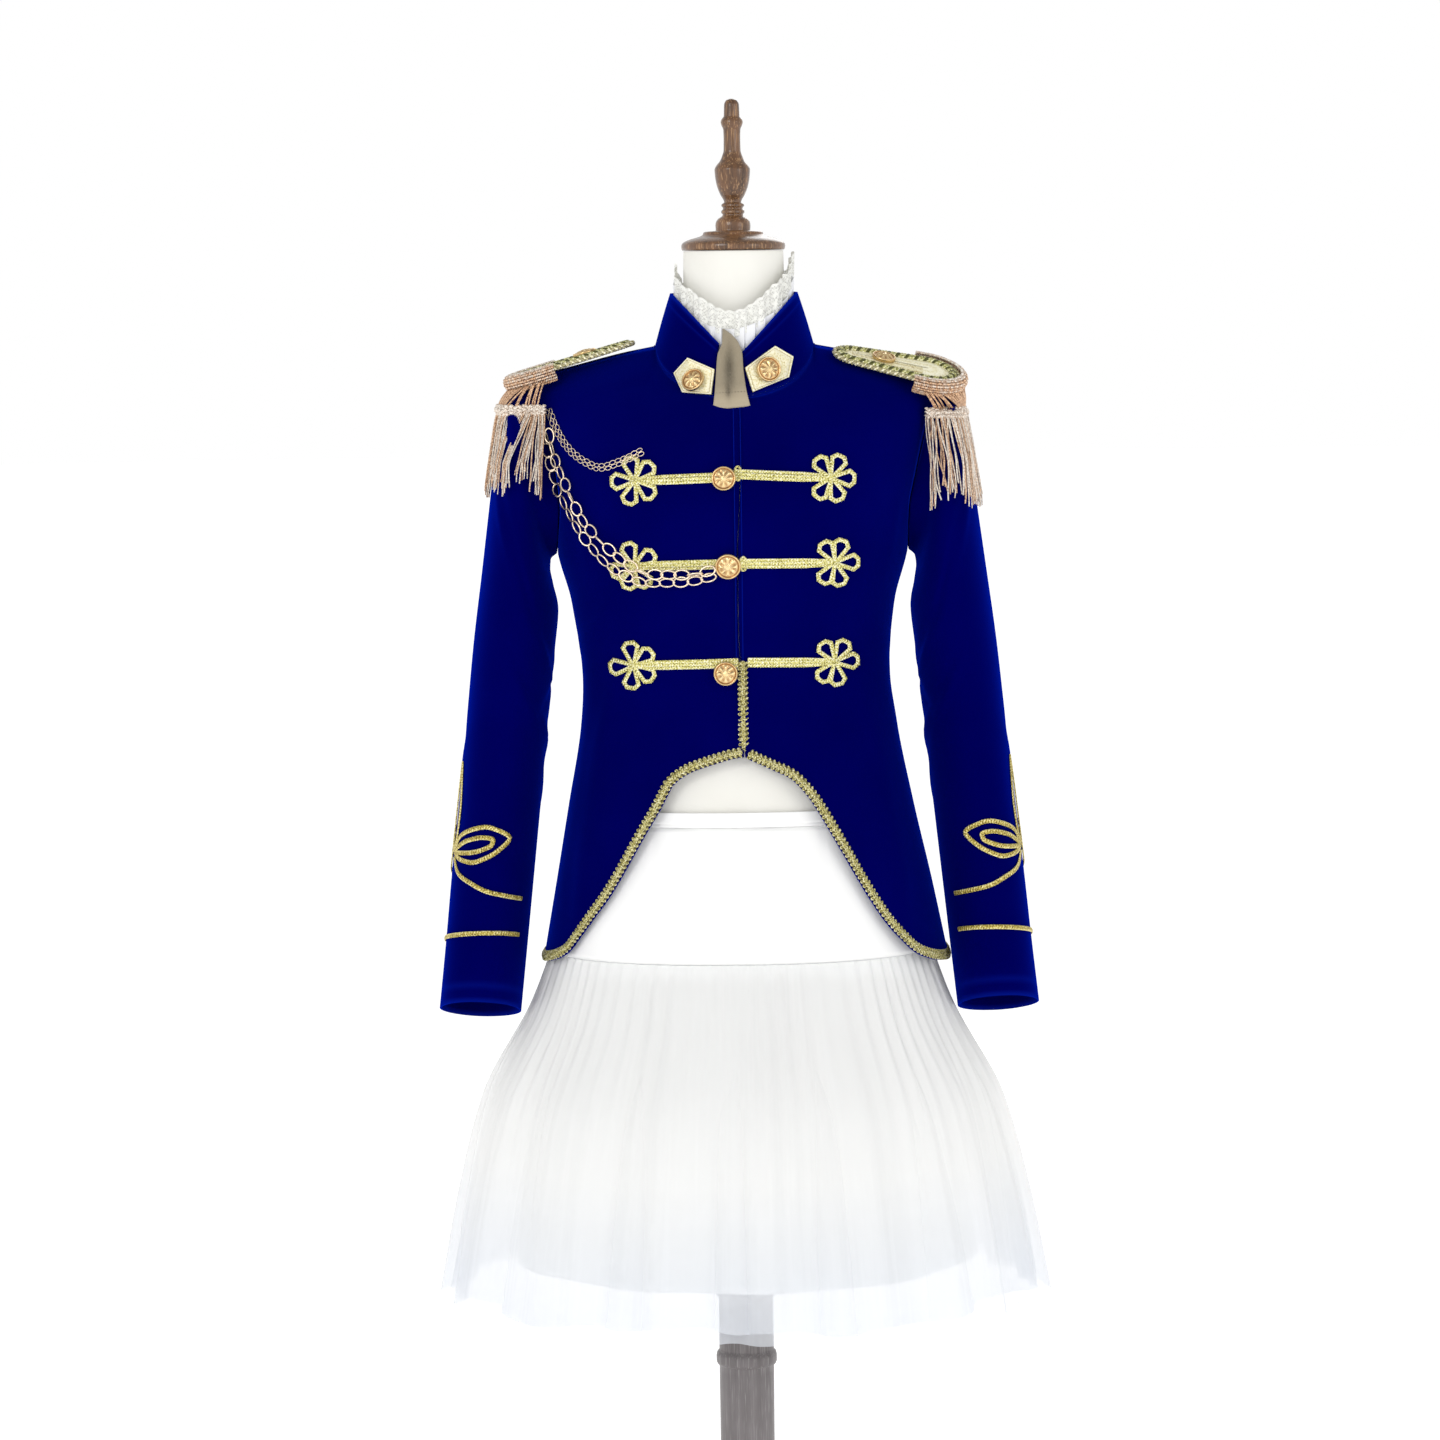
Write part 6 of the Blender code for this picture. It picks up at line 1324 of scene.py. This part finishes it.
for which, (side, *_, rise) in boards.items():
    title = which.title()
    line, _ = boardLine(0.0094, 160)
    spine = np.clip(line[:, 0], board["inner"], board["length"] - board["outer"])
    middle = np.stack([spine, 0 * spine], axis=1)
    shares = np.array([0.0, 0.0, 0.04, 0.12, 0.3, 0.55, 0.8, 0.97])
    heights = np.array([0.0006, 0.0022, 0.0030, 0.0034, 0.0039, 0.0042, 0.0044, 0.0045])
    plan = line + (middle - line) * shares[:, None, None]
    grid = onBoard(which, plan, np.broadcast_to(heights[:, None], plan.shape[:2]) - 0.0006)
    under = onBoard(which, plan, np.zeros(plan.shape[:2]))[::-1]
    rows = np.concatenate([under[:-1], grid])
    points, groups = sheetChunk(rows, np.linspace(0, 0.2, 161), np.linspace(0, 0.05, len(rows)), closed=True)
    addPiece("EpauletteBoard" + title, [facingOut((points, groups))], paleSatin, "pale_gold",
             ["epaulette_board_" + which], sharp=60)
    line, length = boardLine(0.0072, board["braidPoints"])
    chunks = [twisted(which, line, 3, 0.0016, 0.0024, 0.0092, length, 0.0030, 0.6)]
    line, length = boardLine(0.0044, board["braidPoints"])
    chunks.append(twisted(which, line, 2, 0.0008, 0.0008, 0.0046, length, 0.0022))
    # Strands painted dark between the bright ones, as the shade in the braid's grooves
    tone = np.repeat([0.0, 0.95, 0.1, 0.15, 0.9], board["braidPoints"] * 6)
    addPiece("EpauletteBraid" + title, chunks, boardBraid, "gold_braid", ["epaulette_braid_" + which],
             tone=tone)
    line, length = boardLine(0.0018, board["ropePoints"])
    chunks = [twisted(which, line, 2, 0.00140, 0.0012, 0.0062, length, 0.0014)]
    # The second strand is painted darker, as the shade in the rope's grooves
    tone = np.repeat([0.0, 0.6], board["ropePoints"] * 6)
    addPiece("EpauletteRope" + title, chunks, paleCord, "pale_gold", ["epaulette_rope_" + which], tone=tone)
    # Rows of bullion round the outer end, each a tube that swells at every bead
    chunks, tones = [], []
    for outset, height, beadTone in ((0.0012, 0.0058, 0.95), (0.0036, 0.0050, 0.60), (0.0056, 0.0032, 0.15),
                                     (0.0066, 0.0008, 0.40), (0.0066, -0.0018, 0.05),
                                     (0.0058, -0.0044, 0.30),
                                     (0.0044, -0.0070, 0.25), (0.0028, -0.0092, 0.0)):
        count = board["beadPoints"]     # four points a bead
        wave = np.abs(np.sin(np.arange(count) * math.pi / 4 + outset * 900))
        path = onBoard(which, crescentLine(outset, count), np.full(count, height))
        chunks.append(tubeChunk(path, 0.00050 + 0.00110 * wave, 5, rise))
        beads = np.repeat(beadTone + 0.9 * (dice.random(count // 4) - 0.5), 4)
        tones.append(np.append(np.repeat(beads, 5), (beadTone, beadTone)))
    addPiece("EpauletteCrescent" + title, chunks, bullion, "copper_bullion", ["epaulette_crescent_" + which],
             tone=np.concatenate(tones))
    spot = onBoard(which, np.array([[0.048, 0.001]]), np.array([0.0040]))[0]
    addButton("epaulette_button_" + which, spot, rise, 0.0112)

    # Fringe: locks of strands under a knotted heading, and slanted threads up to the crescent
    count, rows = fringe["strands"], fringe["rows"]
    base = np.linspace(-fringe["spread"], fringe["spread"], count)
    lock = np.round(base / 11.5) * 11.5
    pull = dice.uniform(0.25, 1.0, count)
    up = 0.008 if side < 0 else 0.001     # the left fringe hangs higher
    ends = fringe["bottom"] + up * 2 - 0.006 * np.sin(base * 0.21) - dice.uniform(-0.010, 0.008, count)
    t = np.linspace(0, 1, rows)[:, None]
    sway = dice.normal(0, 2.2, count) * t ** 1.5
    sway = sway + dice.normal(0, 0.7, count) * np.sin(t * 7 + dice.uniform(0, 6, count))
    angle = base + (lock - base) * pull * np.sin(np.clip(t * 1.3, 0, 1) * math.pi / 2) * 0.7 + sway
    angle = np.clip(angle, -88, 88)
    z = fringe["top"] + up - 0.003 + (ends - fringe["top"] - up + 0.003) * t
    depth = dice.uniform(0.0, 0.0030, count) + 0.0022 * t + 0.0006
    paths = np.moveaxis(fringePoint(which, angle, z, depth), 0, 1)
    radius = fringe["radius"] * (0.8 + 0.5 * dice.random((count, 1))) * np.ones((1, rows))
    chunks = [tubeChunk(paths, radius, 5, (0, 1, 0.02), False)]
    shade = (dice.random(count) < 0.60) * 0.8 + dice.uniform(0, 0.2, count)
    tones = [np.concatenate([np.repeat(shade, rows * 5), shade, shade])]
    sweep = np.linspace(-fringe["spread"], fringe["spread"], fringe["headings"])
    steps = np.arange(fringe["headings"])
    for level, extra, wide in ((1.3068, 0.0016, 0.0022), (1.3038, 0.0028, 0.0024), (1.3006, 0.0018, 0.0021)):
        knots = np.abs(np.sin(steps * math.pi / 5 + level * 900))
        path = fringePoint(which, sweep, up + level + 0.0010 * np.sin(steps * 0.9), extra + 0.0007 * knots)
        chunks.append(tubeChunk(path, wide * (0.45 + 0.50 * knots), 7, (0, 0, 1)))
        tones.append(np.clip(0.85 + 0.5 * (dice.random(len(chunks[-1][0])) - 0.5), 0, 1))
    threads = fringe["threads"]
    low = np.linspace(-fringe["spread"] + 12, fringe["spread"], threads) + dice.uniform(-2, 2, threads)
    high = np.radians(np.clip(low - 17 + dice.uniform(-5, 5, threads), -88, 88))
    feet = fringePoint(which, low, 1.3060 + up + 0 * low, 0.0018)
    reach = 0.0378
    plan = np.stack([board["length"] - board["outer"] + reach * np.cos(high), reach * np.sin(high)], axis=1)
    heads = onBoard(which, plan, np.full(threads, -0.0066))
    t = np.linspace(0, 1, 8)[None, :, None]
    bow = np.sin(t * math.pi) * 0.0016
    out = unit(((feet + heads) / 2 - np.array([side * fringe["axis"], 0, 0])) * levelOnly)
    paths = feet[:, None] * (1 - t) + heads[:, None] * t + out[:, None] * bow
    chunks.append(tubeChunk(paths, 0.00085, 6, (0, 1, 0.03)))
    tones.append(np.zeros(len(chunks[-1][0])))
    addPiece("EpauletteFringe" + title, chunks, bullion, "copper_bullion", ["epaulette_fringe_" + which],
             tone=np.concatenate(tones))
print("epaulettes made")


# The form: level rings through the sections, rounded by each row's power
def sectionRings(table, z, angles):
    # x = half width times sin^(2/power), y = depth times cos^(2/power), turn 0 at the front
    rows = smoothCurve(table[:, 0], table[:, 1:], z)[:, None]
    power = 2 / rows[..., 3]
    x = rows[..., 0] * np.sign(np.sin(angles)) * np.abs(np.sin(angles)) ** power
    depth = np.where(np.cos(angles) > 0, rows[..., 1], rows[..., 2])
    y = -depth * np.sign(np.cos(angles)) * np.abs(np.cos(angles)) ** power
    return np.stack([x, y, np.broadcast_to(z[:, None], x.shape)], axis=2)


torsoTable = np.array([
    (0.740, 0.158, 0.115, 0.110, 2.2), (0.752, 0.166, 0.122, 0.117, 2.2), (0.850, 0.164, 0.118, 0.112, 2.2),
    (0.905, 0.1515, 0.1075, 0.0995, 2.2), (0.926, 0.1490, 0.1045, 0.0965, 2.2),
    (1.000, 0.141, 0.092, 0.079, 2.2), (1.060, 0.137, 0.086, 0.072, 2.2), (1.128, 0.143, 0.098, 0.079, 2.2),
    (1.190, 0.154, 0.110, 0.086, 2.2), (1.240, 0.160, 0.110, 0.090, 2.2), (1.290, 0.168, 0.092, 0.085, 2.1),
    (1.325, 0.160, 0.058, 0.060, 1.7), (1.343, 0.108, 0.050, 0.049, 1.5), (1.356, 0.068, 0.048, 0.047, 1.8),
    (1.372, 0.053, 0.048, 0.048, 2.0), (1.395, 0.0480, 0.047, 0.047, 2.0),
    (1.458, 0.0470, 0.046, 0.046, 2.0),
])
columns = 80
angles = np.arange(columns) * 2 * math.pi / columns
z = np.concatenate([np.linspace(0.740, 0.752, 5), np.linspace(0.757, 1.455, 96), [1.4570, 1.4580]])
rings = sectionRings(torsoTable, z, angles)
seam = bump(((np.degrees(angles) + 180) % 360 - 180), 0, 2.2) * np.clip((1.30 - z[:, None]) / 0.02, 0, 1)
rings[..., 1] += 0.0007 * seam
shrink = np.array([(s, s, 1) for s in (0.02, 0.5, 0.97)])[:, None]     # the rings that close its ends
grid = np.concatenate([rings[0] * shrink, rings, rings[-1] * shrink[::-1]])
points, groups = sheetChunk(grid, np.linspace(0, 1, columns + 1), grid[..., 2].mean(axis=1), closed=True)
addPiece("FormTorso", [facingOut((points, groups))], jersey, "form_cloth", ["form_torso"])

finialTable = np.array([
    (0.0016, 1.6000), (0.0052, 1.5985), (0.0070, 1.5945), (0.0072, 1.5900), (0.0074, 1.5840),
    (0.0098, 1.5805), (0.0104, 1.5780), (0.0094, 1.5745), (0.0081, 1.5715), (0.0078, 1.5630),
    (0.0080, 1.5520), (0.0096, 1.5465), (0.0116, 1.5420), (0.0152, 1.5375), (0.0167, 1.5340),
    (0.0164, 1.5290), (0.0152, 1.5210), (0.0136, 1.5155), (0.0112, 1.5100), (0.0086, 1.5055),
    (0.0080, 1.5035), (0.0104, 1.5018), (0.0108, 1.5000), (0.0094, 1.4984), (0.0092, 1.4972),
    (0.0108, 1.4956), (0.0110, 1.4938), (0.0096, 1.4920), (0.0104, 1.4905), (0.0140, 1.4880),
    (0.0160, 1.4850), (0.0165, 1.4815), (0.0163, 1.4776), (0.0166, 1.4768), (0.0262, 1.4762),
    (0.0280, 1.4752), (0.0286, 1.4734), (0.0320, 1.4716), (0.0400, 1.4694), (0.0455, 1.4672),
    (0.0470, 1.4662), (0.0484, 1.4648), (0.0489, 1.4625), (0.0487, 1.4604), (0.0480, 1.4588),
])
z = np.unique(np.concatenate([np.linspace(1.4588, 1.6, 110), finialTable[:, 1]]))[::-1]
profile = np.stack([smoothCurve(finialTable[:, 1], finialTable[:, 0], z), z], axis=1)
addPiece("FormFinial", [turnedChunk(profile, 60)], finialWood, "wood", ["form_finial"])
poleTable = np.array([
    (0.0260, 0.7394), (0.0260, 0.4705), (0.0275, 0.4690), (0.0286, 0.4660), (0.0286, 0.4640),
    (0.0272, 0.4620), (0.0260, 0.4606), (0.0262, 0.4100), (0.0282, 0.4080), (0.0290, 0.4050),
    (0.0290, 0.3990), (0.0280, 0.3965), (0.0262, 0.3950), (0.0255, 0.0660), (0.0290, 0.0620),
    (0.0330, 0.0550), (0.0330, 0.0453),
])
z = np.unique(np.concatenate([np.linspace(0.0453, 0.7394, 90), poleTable[:, 1]]))[::-1]
profile = np.stack([smoothCurve(poleTable[:, 1], poleTable[:, 0], z), z], axis=1)
addPiece("StandPole", [turnedChunk(profile, 48)], poleWood, "pole_wood", ["stand_pole"])
baseTable = np.array([
    (0.0450, 0.0450), (0.0475, 0.0443), (0.0500, 0.0420), (0.0560, 0.0398), (0.0700, 0.0372),
    (0.1000, 0.0330), (0.1500, 0.0270), (0.1560, 0.0262), (0.1580, 0.0245), (0.1660, 0.0238),
    (0.1720, 0.0222), (0.1745, 0.0190), (0.1750, 0.0150), (0.1750, 0.0020), (0.1740, 0.0000),
])
run = np.arange(len(baseTable))
profile = smoothCurve(run, baseTable, np.linspace(0, run[-1], 60))
addPiece("StandBase", [turnedChunk(profile, 96)], poleWood, "pole_wood", ["stand_base"])
print("form and stand made")

# Skirt: waistband, yoke and lining as rings, then the gathered tulle
skirtTables = {
    "waistband": np.array([(0.9380, 0.1508, 0.1062, 0.0975, 2.2), (0.9243, 0.1525, 0.1086, 0.1002, 2.2)]),
    "yoke": np.array([(0.9240, 0.1521, 0.1081, 0.0996, 2.2), (0.8750, 0.1640, 0.1215, 0.1130, 2.2),
                      (0.8400, 0.1745, 0.1285, 0.1225, 2.2), (0.8000, 0.1810, 0.1360, 0.1285, 2.2)]),
    "lining": np.array([(0.8060, 0.1775, 0.1325, 0.1252, 2.2), (0.7850, 0.1794, 0.1364, 0.1294, 2.2),
                        (0.7200, 0.1930, 0.1550, 0.1500, 2.1), (0.6100, 0.2120, 0.1850, 0.1800, 2.0),
                        (0.5050, 0.2220, 0.2050, 0.2000, 2.0)]),
}


def ringShell(table, rows, columns, thickness, shape):
    # Wall round level rings, moved out by shape(angle, height)
    angles = np.arange(columns) * 2 * math.pi / columns
    z = np.linspace(table[:, 0].max(), table[:, 0].min(), rows)
    grid = sectionRings(table, z, angles)
    grid = grid + unit(grid * levelOnly) * shape(angles, z[:, None])[..., None]
    normals = unit(awayFrom(np.zeros(3), grid, gridNormals(grid, True)) * levelOnly)
    return shellChunk(grid, normals, thickness, np.linspace(0, 1, columns + 1), z, closed=True)


def yokeShape(a, z):
    # Centre seam and two darts pulled in a little, and soft wrinkles under the waistband
    wrapped = (np.degrees(a) + 180) % 360 - 180
    darts = (bump(wrapped, 27, 1.0) + bump(wrapped, -29, 1.0)) * (z > 0.85)
    seam = -0.0009 * bump(wrapped, -1.5, 0.9) - 0.0005 * darts
    return seam + 0.0005 * np.sin(9 * a + 2 * np.sin(2 * a)) * np.clip((z - 0.83) / 0.06, 0, 1)


def bandShape(a, z):
    # A stitched line round the lower edge
    return -0.0005 * bump(z, 0.9275, 0.0007) + 0 * a


def liningShape(a, z):
    # Soft flutes that open towards the hem
    drop = np.clip((0.80 - z) / 0.295, 0, 1)
    return 0.0035 * drop ** 1.3 * np.sin(9 * a + 1.3 * np.sin(2 * a) + 0.6) - 0.0035 * drop


# Rows, columns, thickness and shape of each ring; its cloth; its cut
for name, build, cloth, cut in (
        ("waistband", (20, 120, 0.0014, bandShape), satin, ((0.84, 0.0148), 0.98, "hung", "form_torso")),
        ("yoke", (28, 240, 0.0014, yokeShape), satin, ((0.98, 0.128), 0.98, "hung", "form_torso")),
        ("lining", (40, 144, 0.0012, liningShape), liningSatin, ((1.26, 0.310), 0.93, "hung", "skirt_yoke"))):
    chunk = ringShell(skirtTables[name], *build)
    addSheet("Skirt" + name.title(), chunk, cloth, "satin", ["skirt_" + name], *cut)

tulleTable = np.array([
    (0.7993, 0.1800, 0.1360, 0.1285, 2.20, 0.0012, 0.0000),
    (0.7480, 0.1985, 0.1680, 0.1640, 2.12, 0.0024, 0.0010),
    (0.6600, 0.2425, 0.2200, 0.2160, 2.05, 0.0014, 0.0048),
    (0.5650, 0.2650, 0.2480, 0.2450, 2.00, 0.0008, 0.0078),
    (0.4700, 0.2810, 0.2680, 0.2650, 2.00, 0.0006, 0.0100),
])
skirt = {"rows": 44, "columns": 380}


def tulleGrid(front, inset, lag, hemUp):
    # Rings with gathers near the seam that die out while broad folds grow to the hem
    start = -90 if front else 90
    angles = np.radians(start + 180 * np.linspace(0.0004, 0.9996, skirt["columns"]))
    z = np.linspace(tulleTable[0, 0], tulleTable[-1, 0], skirt["rows"])
    rows = smoothCurve(tulleTable[:, 0], tulleTable[:, 1:], z)[:, None]
    power = 2 / rows[..., 3]
    x = (rows[..., 0] - inset) * np.sign(np.sin(angles)) * np.abs(np.sin(angles)) ** power
    depth = rows[..., 1] if front else rows[..., 2]
    y = (depth - inset) * np.abs(np.cos(angles)) ** power * (-1 if front else 1)
    wave = np.sin(72 * angles + 2.0 * np.sin(7 * angles + lag) + lag)
    gather = rows[..., 4] * wave * (0.7 + 0.3 * np.sin(11 * angles))
    folds = rows[..., 5] * (np.sin(15 * angles + 1.2 * np.sin(3 * angles) + lag)
                            + 0.35 * np.sin(29 * angles + 1.7 * np.sin(4 * angles) + 2 * lag))
    plan = np.stack([x, y], axis=2)
    plan = plan + unit(plan) * (gather + folds)[..., None]
    drop = np.linspace(0, 1, skirt["rows"])[:, None]
    hem = (0.004 * np.sin(5 * angles + 0.7 + lag) + hemUp) * drop ** 2
    return np.concatenate([plan, (z[:, None] + hem)[..., None]], axis=2)


for name, front in (("front", True), ("back", False)):
    for layer, (inset, lag, hemUp) in enumerate(((0.0, 0.0, 0.0), (0.0075, 1.9, 0.010))):
        grid = tulleGrid(front, inset, lag, hemUp)
        us = np.linspace(0, 0.86, skirt["columns"])
        points, ((faces, uvs),) = sheetChunk(grid, us, np.linspace(0.33, 0, skirt["rows"]))
        first, second, last = [points[faces[:, k]] for k in (0, 1, 3)]
        if np.einsum("ij,ij->", np.cross(second - first, last - first), first * levelOnly) < 0:
            faces, uvs = faces[:, ::-1], uvs[:, ::-1]     # turned to face outwards
        title = "SkirtTulle" + name.title() + ("" if layer == 0 else "Under")
        nodes = ["skirt_tulle_" + name] if layer == 0 else ()
        addSheet(title, (points, [(faces, uvs)]), tulle, "tulle", nodes,
                 (0.96, 0.345), 0.84, "gathered", "skirt_yoke")
print("skirt made")

for piece, flat, fill, held, rests in sheets:
    flat[0] * flat[1] * fill

# Floor, light and camera
studio = {"key": 26, "fill": 12, "back": 10, "horizon": 1.0, "zenith": 0.55}
turn = np.linspace(0, 2 * math.pi, 96, endpoint=False)
radii = np.array([0.02, 2.0, 8.0, 40.0])[:, None]
grid = np.stack([radii * np.cos(turn), radii * np.sin(turn), np.full((4, 96), -0.001)], axis=2)
points, groups = sheetChunk(grid, np.linspace(0, 1, 97), radii[:, 0], closed=True)
mesh = bpy.data.meshes.new("floor")
disc = list(range(len(turn)))
mesh.from_pydata(points.tolist(), [], [face[::-1] for face in groups[0][0].tolist()] + [disc])
mesh.materials.append(makeFloor())
floor = bpy.data.objects.new("floor", mesh)
bpy.context.collection.objects.link(floor)

world = bpy.data.worlds.new("studio")
bpy.context.scene.world = world
world.use_nodes = True
tree = world.node_tree
split = tree.nodes.new("ShaderNodeSeparateXYZ")
tree.links.new(tree.nodes.new("ShaderNodeTexCoord").outputs["Generated"], split.inputs[0])
ramp = tree.nodes.new("ShaderNodeMapRange")
tree.links.new(split.outputs[2], ramp.inputs[0])
for socket, value in zip(ramp.inputs[1:5], (0.30, 0.75, studio["horizon"], studio["zenith"])):
    socket.default_value = value
tree.links.new(ramp.outputs[0], tree.nodes["Background"].inputs["Strength"])
tree.nodes["Background"].inputs["Color"].default_value = (1, 1, 1, 1)


def addLight(name, place, aim, size, energy):
    data = bpy.data.lights.new(name, "AREA")
    data.shape, data.size, data.energy = "DISK", size, energy
    lamp = bpy.data.objects.new(name, data)
    lamp.location = place
    lamp.rotation_euler = (Vector(aim) - Vector(place)).to_track_quat("-Z", "Y").to_euler()
    bpy.context.collection.objects.link(lamp)


addLight("keyLight", (-1.7, -3.0, 2.7), (0, 0, 1.05), 1.4, studio["key"])
addLight("fillLight", (2.4, -2.2, 1.9), (0, 0, 1.0), 1.6, studio["fill"])
addLight("backLight", (0.6, 2.8, 2.6), (0, 0, 1.1), 1.4, studio["back"])

view = {"place": (-0.018, -4.5, 1.41), "aim": (-0.018, 0, 1.0155), "lens": 119.1, "roll": 0.72}
camera = bpy.data.objects.new("camera", bpy.data.cameras.new("camera"))
camera.data.lens, camera.data.sensor_width = view["lens"], 36.0
camera.data.clip_end = 100
camera.location = view["place"]
camera.rotation_euler = (Vector(view["aim"]) - Vector(view["place"])).to_track_quat("-Z", "Y").to_euler()
camera.rotation_euler.rotate_axis("Z", math.radians(-view["roll"]))
bpy.context.collection.objects.link(camera)
bpy.context.scene.camera = camera
bpy.context.scene.view_settings.view_transform = "Standard"
print("floor, light and camera made")
